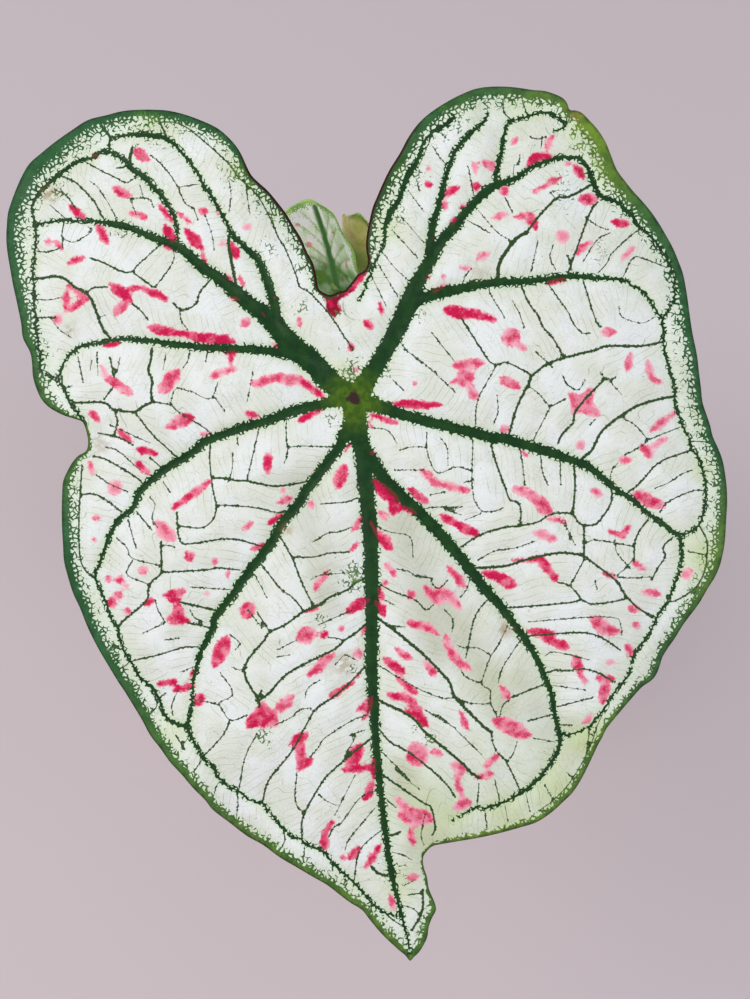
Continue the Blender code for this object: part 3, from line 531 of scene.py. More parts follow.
# Main veins: place and width all along each
main_veins = [
    [
        (354, 400, 26), (357, 430, 21), (363, 455, 17), (369, 520, 15), (372, 570, 14), (371.7, 660, 12),
        (375, 727, 9), (379, 777, 7.5), (391, 870, 5), (408, 940, 2.5), (410, 955, 2),
    ],
    [
        (362, 445, 15), (380, 473, 13), (395, 490, 13), (425, 518, 12), (459, 556, 11), (490, 595, 10),
        (502, 608, 9), (533, 652, 6.5), (550, 690, 5.5), (553, 707, 5), (559.5, 737, 5), (556, 754, 4.5),
        (538, 779, 4), (512, 798, 3), (487, 808, 3), (477, 807.5, 2.5), (452, 820, 1.5),
    ],
    [
        (356, 400, 20), (372, 404, 15), (413, 417.5, 11), (490, 437, 10.5), (505, 439, 10), (578, 462, 8.5),
        (598, 474, 7), (618, 491, 5.5), (628, 496, 5.5), (650, 515, 5), (662, 523, 5), (672, 532, 5),
        (680, 537, 4.5), (681.7, 558, 3.5), (679, 572, 3), (667, 602, 3), (657, 617, 3), (650, 632, 3),
        (633, 657, 2.8), (631.7, 668, 2.6), (625, 680, 2.6), (618, 687, 2.5), (605, 708, 2.4), (591, 725, 2.2),
        (572, 734, 2), (561, 734, 2),
    ],
    [
        (356, 398, 24), (364, 387, 18), (373, 371, 15), (390, 343, 17), (406.5, 308, 18), (413, 291, 16),
        (430, 260, 12), (445, 236, 10), (456, 226, 9), (465, 213, 9), (485, 192, 9), (493, 187, 8),
        (518, 177, 5.5), (530, 168, 4.5), (557, 158, 4.5), (570, 157.5, 4.5), (578, 158, 4.5), (587, 167, 5),
        (600, 195, 5), (618, 202, 4), (622, 208, 4), (631, 214, 4), (638, 226, 4), (647, 233, 3.8), (660, 248, 3),
        (672, 270, 2.6), (674.7, 297, 2.5), (662.5, 320, 3), (664, 330, 3), (663, 341, 3), (667, 359, 3),
        (675, 388, 3), (675, 400, 3), (683, 427, 3), (689, 437, 3), (691, 448, 3), (698, 457, 3), (705, 480, 3),
        (705, 507, 3), (702, 518, 3), (697, 527, 3), (681, 537, 3),
    ],
    [
        (408, 303, 14), (425, 297, 11), (484, 284, 8.5), (530, 281, 7), (570, 276, 6), (590, 277.5, 5),
        (623, 280, 3.5), (632, 286, 3), (643, 292, 3), (662.5, 320, 2.5),
    ],
    [
        (430, 252, 10), (433, 223, 7), (438, 208, 6), (450, 163, 5), (462, 142, 4.5), (482, 123, 3),
        (488, 113, 1.5),
    ],
    [
        (495, 183, 4.5), (499, 160, 4), (502, 150, 4), (504, 137, 3.5), (508, 123, 3.5), (520, 119, 3),
        (545, 113, 3), (565, 122, 3), (563, 128, 2.5), (555, 131, 2),
    ],
    [
        (360, 300, 2), (375, 263, 3), (384, 242, 3), (385, 228, 3.5), (390, 213, 4), (397, 203, 4), (407, 178, 4),
        (420, 155, 4), (423, 143, 3.5), (433, 132, 3), (445, 125, 2.5), (453, 118, 2),
    ],
    [
        (352, 398, 24), (334, 385, 20), (315, 365, 23), (300, 352, 22), (287, 340, 21), (275, 325, 20),
        (263, 313, 17), (250, 304, 15), (217, 277, 11.5), (203, 268, 11), (180, 248, 9), (153, 237.5, 7.5),
        (117, 224, 5.5), (63, 220.5, 2.6), (38, 225, 2.5),
    ],
    [
        (275, 322, 12), (274, 303, 10), (261, 265, 7), (255, 257, 6.5), (232, 234, 4.5), (227, 223, 3.5),
        (212, 197, 4), (203, 185, 4), (197, 172, 3.5), (172, 142, 3), (150, 135, 3), (128, 135, 3), (118, 137, 3),
        (111, 138, 2.5), (109, 150, 2.5),
    ],
    [
        (178, 240, 3), (175, 218, 4), (163, 197, 5), (153, 187, 5.5), (145, 177, 6), (133, 170, 6), (128, 163, 5),
        (110, 152, 4), (100, 152, 4), (92, 158, 4), (82, 160, 4), (72, 165, 4), (47, 185, 3.6), (32.5, 205, 3.2),
        (36, 233, 3), (33, 273, 3), (34, 288, 3), (34, 305, 3), (36, 320, 3), (40, 362, 3), (43, 372, 3),
        (58, 379, 2.5),
    ],
    [
        (322, 372, 13), (300, 358, 10), (260, 350, 8.5), (200, 347, 7), (140, 340, 5), (113, 340, 4.2),
        (103, 342.5, 4), (80, 347, 3.5), (75, 352, 3), (67, 357, 3), (59, 377, 3), (62, 387, 3), (82, 419, 2),
    ],
    [
        (348, 400, 14), (330, 402, 11), (320, 405, 10), (300, 409, 10), (260, 423, 9), (248, 426, 8.5),
        (217, 437, 8.5), (203, 443, 8), (192, 453, 8), (167, 468, 8), (143, 488, 7), (137, 498, 6.5),
        (133, 508, 6), (115, 525, 5), (98, 567, 3.5), (95, 572, 3), (96, 580, 3), (107, 605, 3), (111, 618, 3),
        (117, 628, 3), (125, 653, 3), (132, 663, 3), (138, 675, 3), (155, 692, 3.4), (165, 715, 3.5),
        (172, 722, 3.8), (187.5, 727, 4),
    ],
    [
        (354, 418, 14), (343, 437, 11), (337, 450, 10.5), (308, 488, 10), (300, 502, 10), (288, 515, 10),
        (278, 530, 9.5), (270, 545, 9.5), (248, 573, 9), (231, 597, 8), (215, 618, 7.5), (212, 630, 7),
        (200, 653, 5), (197, 667, 4), (193, 683, 3), (192.5, 702, 2.8), (188, 727, 4.5), (192, 738, 4),
        (203, 757, 3), (212, 767, 3), (220, 779, 3), (230, 787, 3), (238, 791, 2.8), (250, 800, 2.6),
        (263, 804, 2.5), (270, 813, 2.5), (288, 833, 2.5), (302, 840, 2.8), (308, 845, 3), (323, 851, 3),
        (332, 862, 3), (353, 882, 3.3), (380, 910, 3), (402, 917, 2),
    ],
]
# Side veins: width, then the places that each runs through, one after another
side_veins = [
    (1.5, 358, 498, 345, 502, 321, 504), (1.5, 352, 527, 338, 532, 328, 533, 313, 542),
    (1.8, 349, 552, 330, 553, 313, 557, 292, 557),
    (2.5, 367, 578, 357, 582, 347, 590, 328, 598, 320, 605, 303, 612, 285, 625, 270, 632, 263, 642, 253, 653,
     244, 670, 252, 690, 258, 698, 259, 707),
    (2.5, 368, 622, 357, 632, 345, 640, 333, 650, 290, 672, 270, 692, 260, 700),
    (2.2, 368, 664, 340, 692, 317, 708, 310, 718, 292, 751, 269, 780, 262.5, 802),
    (1.3, 368, 715, 353, 720, 325, 738, 318, 748, 310, 757),
    (2.2, 375, 738, 365, 743, 331, 772, 321, 784, 303, 817, 302, 840),
    (1.5, 378, 790, 360, 798, 342, 822, 333, 828, 329, 837), (1.3, 375, 808, 350, 838, 345, 850),
    (1.5, 384, 828, 360, 850, 354, 882), (3, 372, 867, 378, 873, 388, 876), (1, 370, 428, 387, 430, 397, 443),
    (1.2, 377, 527, 390, 532, 410, 537, 413, 557), (1.2, 397, 569, 408, 571, 418, 577, 433, 578),
    (1.6, 376, 582, 392, 591, 415, 600, 426, 610, 433, 605),
    (3, 374, 612, 378, 618, 415, 647, 448, 680, 455, 697, 482, 725, 492, 732),
    (1.8, 492, 732, 492.5, 742, 498, 753, 507, 763, 519, 788), (1.3, 376, 664, 415, 687, 440, 697.5, 455, 698),
    (3, 376, 697, 382, 702, 405, 713, 417, 722, 425, 732, 462, 763, 470, 772, 480, 778),
    (2, 378, 728, 390, 742, 405, 750, 428, 767, 447, 785, 455, 797),
    (2.2, 380, 770, 383, 775, 422, 802, 431, 807, 435, 827, 432.5, 835), (1.5, 387, 800, 396, 807.5),
    (3, 387, 835, 393, 835, 400, 832), (1.2, 392, 852, 403, 855, 412, 860), (2.5, 423, 890, 422, 912, 412, 930),
    (1.2, 423, 509, 437, 507, 462, 507), (1.2, 430, 495, 445, 492),
    (2.2, 461, 547, 480, 535, 502, 528, 535, 523, 552, 514, 572, 514, 578, 522, 585, 525, 597, 523, 610, 505,
     612, 493, 610, 482),
    (2.8, 474, 568, 505, 566, 525, 560, 558, 553, 583, 555),
    (2.5, 583, 555, 615, 580, 623, 592, 638, 608, 656, 617.5), (2.5, 584, 553, 584, 527),
    (2, 505, 608, 567, 603, 582, 600, 592, 604, 617, 601, 628, 598), (1.8, 558, 582.5, 570, 586, 582, 600),
    (1.5, 583, 562, 570, 586), (2, 527, 636, 580, 632.5, 602, 638, 620, 650),
    (2, 545, 673, 557, 670, 567, 671, 583, 669, 597, 672.5, 615, 682), (1.5, 557, 707, 593, 697.5),
    (1.8, 560, 725, 572, 725), (2, 545, 684, 512, 697), (1.8, 550, 715, 528, 721),
    (1.5, 490, 597, 475, 617, 466, 657),
    (1.3, 508, 625, 497, 647, 490, 658, 482, 683, 490, 690, 491, 703, 497, 717),
    (1.2, 522, 638, 503, 667, 498, 683), (3, 580, 460, 592, 450, 603, 430, 633, 408, 660, 399, 673, 397),
    (2, 626, 494, 640, 483, 660, 462, 692, 450), (1.5, 660, 512, 668, 502, 692, 491, 705, 491),
    (2.7, 508, 438, 517, 407, 528, 385, 533, 375, 553, 361.5, 595, 350, 607, 346, 640, 346, 662, 342),
    (2, 461, 318, 485, 355, 490, 362, 498, 365, 507, 362.5, 532, 375), (1.3, 495, 368, 478, 400, 475, 430),
    (1.2, 528, 386, 538, 393, 550, 407), (1.8, 550, 407, 565, 399), (1.3, 550, 408, 532, 442),
    (2.5, 605, 379, 587, 397, 575, 413, 573, 423, 563, 433, 558, 443),
    (2.2, 491, 438, 493, 453, 505, 487, 510, 500, 518, 502, 521, 512, 520, 524), (1.3, 520, 445, 525, 485),
    (1.5, 540, 450, 542.5, 472, 548, 485), (1.2, 560, 460, 561, 485), (2.5, 574, 462, 575, 487, 572.5, 515),
    (2, 648, 514, 648, 520, 640, 530, 635, 542, 634, 562), (2, 673, 537, 663, 547, 665, 557, 657, 569, 652, 580),
    (2, 522, 284, 522, 288, 530, 305, 538, 315, 543, 327, 552, 337, 563, 355),
    (1.5, 549, 281, 549, 285, 568, 312, 573, 323, 582, 333, 590, 333), (1.8, 583, 280, 595, 318, 601, 327),
    (1, 619, 307, 622, 317, 642, 323, 655, 317), (1.2, 490, 285, 490, 293, 505, 318),
    (4, 498, 280, 500, 262, 515, 240, 527, 232), (2.8, 527, 232, 540, 215, 557, 198, 568, 197, 595, 183),
    (2.2, 568, 273, 590, 213, 598, 202), (1.2, 583, 262, 597, 240, 610, 233),
    (1.5, 598, 273, 607, 263, 613, 252, 640, 228), (1.3, 623, 277, 633, 258, 642, 258, 667, 267.5),
    (1.2, 467, 220, 490, 233), (1.2, 505, 198, 513, 213), (1.5, 160, 245, 138, 265, 133, 272),
    (2, 90, 258, 102, 262, 123, 272, 133, 273, 153, 287), (1.3, 173, 248, 173, 262, 155, 287.5),
    (2.2, 212, 278, 200, 292, 197, 302, 190, 308, 180, 309, 173, 303), (1.3, 180, 309, 181, 320, 188, 330),
    (3, 34, 279, 60, 277, 75, 287, 87, 294, 93, 303, 102, 327, 110, 338), (2, 87, 293, 93, 288, 107, 287),
    (2, 132, 303, 142, 312, 148, 320), (2, 63, 177, 75, 182, 93, 200, 103, 218), (1.3, 50, 205, 65, 218),
    (1.2, 100, 170, 120, 180), (1.4, 150, 155, 160, 163, 175, 182, 185, 203, 193, 208, 198, 220),
    (3.5, 230, 230, 229, 247, 236, 285), (2.8, 152, 348, 151, 360, 148, 370, 152, 380, 151, 392, 152.5, 402),
    (3, 152.5, 402, 142, 407, 135, 412.5), (1.6, 152.5, 402, 170, 405, 180, 413, 203, 427, 213, 435),
    (2.5, 135, 412.5, 113, 409, 103, 402.5, 72, 403), (1.8, 135, 412.5, 153, 435, 177, 457),
    (2, 110, 357, 114, 377), (1.8, 113, 387, 105, 398), (1.6, 78, 357, 83, 382),
    (1.3, 190, 350, 188, 360, 183, 368), (1.1, 177, 388, 193, 392, 203, 397.5, 212, 397.5, 218, 382),
    (1.8, 115, 412, 117.5, 423, 115, 433), (2, 98, 433, 120, 438, 133, 445),
    (2, 93, 456, 107, 460, 137, 478, 143, 485), (2, 80, 495, 93, 494, 103, 498, 122, 512),
    (1.8, 210, 440, 210, 463, 213, 490, 216, 503, 215, 515, 210, 523, 200, 528, 178, 526),
    (2.2, 212, 478, 225, 478, 237, 481, 247, 481, 275, 486, 305, 482, 316, 478),
    (1.6, 217, 505, 250, 507, 277, 512.5, 290, 512),
    (2, 177, 512, 177.5, 527, 180, 540, 188, 544, 230, 539, 268, 548), (1.8, 137, 512, 152, 530),
    (2.4, 161, 542, 161, 572, 153, 580, 148, 590, 148, 598, 140, 607, 123, 621, 118, 627),
    (2, 162, 572.5, 205, 570, 218, 568, 240, 570), (1.3, 190, 587, 236, 590), (2.5, 180, 602, 218, 611),
    (1.8, 187, 622.5, 212, 628), (1.3, 143, 633, 163, 624), (1.8, 132, 661, 158, 655, 183, 647.5, 202, 647),
    (1.3, 117, 538, 127, 548, 132, 558, 157, 565), (1.3, 131, 563, 127.5, 575, 150, 585),
    (2, 280, 536, 293, 560, 302, 583, 314, 607), (1.8, 258, 560, 280, 588, 292, 597, 303, 610),
    (1.1, 255, 575, 267, 598), (1.6, 257, 612, 270, 632), (1.3, 288, 412, 286, 428, 287.5, 453, 284, 463),
    (1.3, 288, 447.5, 302, 446, 338, 447), (1.5, 260, 424, 247, 480), (1.1, 220, 672, 233, 693, 220, 702),
    (1.3, 195, 700, 218, 705, 230, 720, 248, 715), (1.6, 230, 720, 223, 735, 204, 756),
    (1.3, 257, 733, 245, 758, 239, 790), (1.3, 297, 772, 295, 797, 298, 808, 304, 812),
    (2, 82, 465, 79, 517, 80, 557, 87, 572, 96, 577),
    (1.8, 167, 122, 177, 123, 193, 132, 228, 163, 238, 177, 257, 195, 272, 222, 278, 237, 285, 248, 296, 275,
     300, 287, 310, 293, 330, 315, 353, 350),
    (2, 700, 527, 707, 542, 705, 570, 695, 588, 677, 600, 667, 602), (3.5, 132, 170, 130, 160, 132, 148),
    (3, 97, 119, 110, 137), (2.5, 158, 118, 168, 140), (1.5, 84, 161, 100, 170),
    (1.4, 120, 180, 127, 183, 133, 179, 143, 176, 150, 180), (1.6, 117, 168, 128, 166),
    (1, 90, 181, 100, 190, 118, 220), (1.8, 55, 190, 66, 195, 76, 209), (1.2, 128, 198, 149, 199, 153, 207),
    (1, 131, 200, 136, 215), (1.5, 64, 222, 62, 235, 63, 248), (1.2, 62, 238, 74, 242, 92, 231, 88, 227),
    (1.7, 35, 251, 48, 252, 60, 248), (1.2, 36, 299, 50, 300, 62, 297), (1.8, 33, 318, 55, 317),
    (1, 97, 318, 106, 315), (1, 229, 180, 231, 195, 229, 212), (1, 243, 165, 250, 215), (1, 180, 187, 200, 184),
    (1, 140, 185, 143, 196), (1, 52, 320, 60, 330, 72, 338), (1, 205, 215, 212, 235, 214, 250),
    (2.2, 62, 376, 63, 388, 72, 408), (1.4, 63, 388, 72, 386), (1.4, 62, 376, 56, 376, 50, 382),
    (1.2, 120, 358, 117, 372), (1, 97, 352, 98, 375), (1.2, 92, 360, 90, 370), (1.2, 207, 352, 206, 362),
    (1, 253, 372, 247, 402), (1.3, 173, 392, 171, 402), (1, 215, 398, 225, 411),
    (1.2, 106, 447, 118, 451, 140, 470), (1.1, 110, 425, 150, 443), (1.3, 96, 475, 110, 484, 128, 492),
    (1.6, 150, 458, 167, 472), (1.5, 163, 482, 170, 492), (1.1, 150, 497, 155, 505, 152, 518, 158, 528),
    (1.3, 128, 520, 136, 548), (1.2, 233, 452, 232, 470, 228, 482), (1.3, 195, 446, 205, 450),
    (1.3, 165, 545, 175, 547), (1, 166, 353, 163, 370), (1, 236, 425, 238, 445), (1.2, 96, 632, 105, 640, 118, 646),
    (1.5, 106, 650, 115, 648, 122, 650), (1.4, 112, 672, 122, 668, 130, 662), (1.6, 153, 693, 157, 705, 152, 712),
    (1.5, 166, 693, 159, 698), (1.2, 173, 715, 172, 705, 178, 690), (1.5, 176, 735, 185, 750),
    (1.2, 181, 748, 190, 735), (1.2, 213, 798, 217, 785, 222, 780), (1.2, 236, 822, 238, 800, 236, 790),
    (1.2, 204, 622, 195, 618, 190, 610), (1, 165, 640, 180, 638), (1.2, 230, 635, 240, 643, 235, 650),
    (1.2, 232, 667, 240, 670, 247, 668), (1, 180, 672, 196, 666), (1.3, 155, 600, 158, 610, 165, 622),
    (1.3, 205, 755, 195, 770), (1, 248, 610, 262, 628), (1, 140, 735, 150, 728), (1, 320, 575, 358, 572),
    (1.3, 318, 625, 352, 610), (1, 328, 637, 345, 640), (1.2, 277, 650, 297, 640), (1, 277, 657, 290, 655),
    (1.2, 305, 698, 308, 688, 320, 680), (1.2, 275, 725, 290, 718, 300, 710, 310, 708),
    (1, 335, 665, 345, 655, 355, 660), (1.3, 417, 575, 430, 578, 433, 585, 440, 588, 448, 580),
    (1, 390, 625, 405, 627), (1.3, 425, 710, 455, 728), (1, 385, 600, 395, 605), (1.2, 262, 690, 255, 700),
    (1.4, 350, 735, 365, 730), (1.2, 345, 755, 355, 738), (1, 380, 750, 410, 780), (1, 330, 570, 310, 580),
    (1.8, 511, 120, 504, 112, 503, 100), (1.4, 528, 118, 522, 100), (1.4, 434, 148, 440, 158, 447, 165),
    (1.2, 437, 130, 446, 138), (1.4, 530, 137, 537, 139, 546, 137), (1.2, 542, 137, 541, 148),
    (1.6, 556, 131, 563, 127, 566, 122), (1.2, 514, 165, 513, 178), (1.2, 520, 155, 519, 165),
    (1.1, 468, 166, 474, 196), (1, 416, 178, 420, 192), (1, 478, 210, 497, 232, 510, 240),
    (1.4, 555, 198, 550, 192), (1.3, 538, 240, 531, 272), (1, 553, 245, 550, 258, 556, 270),
    (1.1, 585, 217, 596, 225, 608, 230), (1.3, 567, 255, 572, 270), (1.2, 462, 285, 466, 275, 472, 268),
    (1, 446, 235, 453, 240), (1.1, 512, 300, 520, 315, 524, 328), (1.6, 386, 222, 382, 252),
    (1, 382, 252, 395, 268, 408, 280), (1, 392, 230, 418, 258), (1, 400, 215, 424, 243), (1, 377, 262, 398, 297),
    (1, 371, 275, 386, 306), (1.2, 430, 140, 418, 168), (1, 408, 190, 424, 212), (1, 405, 350, 420, 360, 437, 375),
    (1.3, 398, 340, 415, 358, 436, 372), (1.2, 432, 333, 455, 362), (1, 437, 375, 455, 392),
    (1.3, 393, 380, 403, 390), (1, 497, 395, 498, 412, 493, 425),
    (1.2, 427, 432, 427, 450, 433, 468, 440, 473, 456, 467, 470, 470), (1, 400, 450, 412, 447, 425, 447),
    (1, 440, 437, 447, 448, 448, 465), (1, 395, 470, 425, 470), (1.3, 473, 440, 472, 480, 474, 500),
    (1.3, 474, 500, 482, 511, 495, 511, 503, 508), (1, 463, 483, 473, 480), (1, 465, 520, 480, 514),
    (1.2, 478, 560, 495, 551, 515, 548, 535, 541), (1, 445, 510, 462, 515), (1.3, 536, 352, 553, 368),
    (1.2, 562, 375, 568, 385, 578, 390, 585, 380), (1, 560, 520, 568, 530, 575, 545), (1.2, 590, 425, 595, 420),
    (1, 607, 378, 622, 395), (1.4, 600, 372, 607, 380, 616, 377), (1.3, 610, 478, 612, 470, 618, 463),
    (1.3, 624, 419, 635, 425, 648, 440), (1.4, 648, 440, 640, 447, 625, 455), (1.4, 648, 440, 680, 427),
    (1.2, 655, 488, 668, 483, 680, 475, 692, 470), (1.5, 688, 441, 710, 442), (1.2, 703, 470, 712, 472),
    (1.2, 705, 500, 712, 502), (1.2, 687, 551, 705, 555), (1.2, 615, 540, 617, 553, 630, 568),
    (1.2, 588, 542, 597, 540, 632, 546), (1.2, 617, 575, 627, 567, 632, 560), (1.2, 615, 575, 625, 578, 650, 577),
    (1.2, 565, 520, 570, 540), (1.2, 693, 598, 700, 588), (1.2, 470, 580, 466, 590, 460, 598),
    (1.2, 445, 610, 453, 620, 452, 632), (1.2, 457, 645, 465, 648, 478, 648, 490, 655),
    (1.3, 461, 670, 466, 677, 480, 683), (1.2, 455, 697, 470, 703, 490, 704), (1.1, 428, 712, 445, 720, 482, 755),
    (1.3, 500, 716, 503, 705, 510, 700), (1.1, 545, 656, 555, 652, 590, 660),
    (1.1, 528, 622, 590, 617, 615, 618, 620, 622, 622, 635), (1, 550, 685, 585, 690), (1.2, 533, 738, 555, 742),
    (1.1, 507, 762, 514, 752, 517, 742), (1.2, 477, 807, 479, 785), (1, 500, 803, 495, 780),
    (1.1, 645, 612, 652, 618), (1.2, 595, 580, 597, 590), (1.2, 590, 728, 585, 760),
    (1.3, 609, 700, 598, 724, 590, 747, 573, 778, 556, 798, 540, 810), (1, 566, 772, 575, 780),
    (1, 545, 785, 553, 800), (1, 525, 790, 530, 812), (1, 505, 805, 508, 822), (1, 485, 810, 487, 830),
    (1.5, 283, 830, 285, 840, 280, 850), (1.2, 305, 845, 303, 862), (1, 331, 855, 333, 870),
    (1, 345, 870, 346, 885), (1.1, 320, 795, 325, 800, 335, 805), (1, 355, 775, 335, 815), (1, 395, 770, 420, 790),
    (1.3, 400, 905, 412, 908, 420, 915), (1.3, 375, 905, 400, 925), (1.2, 425, 815, 421, 835, 424, 845),
    (1.2, 405, 885, 415, 880), (1.2, 408, 895, 420, 893),
]
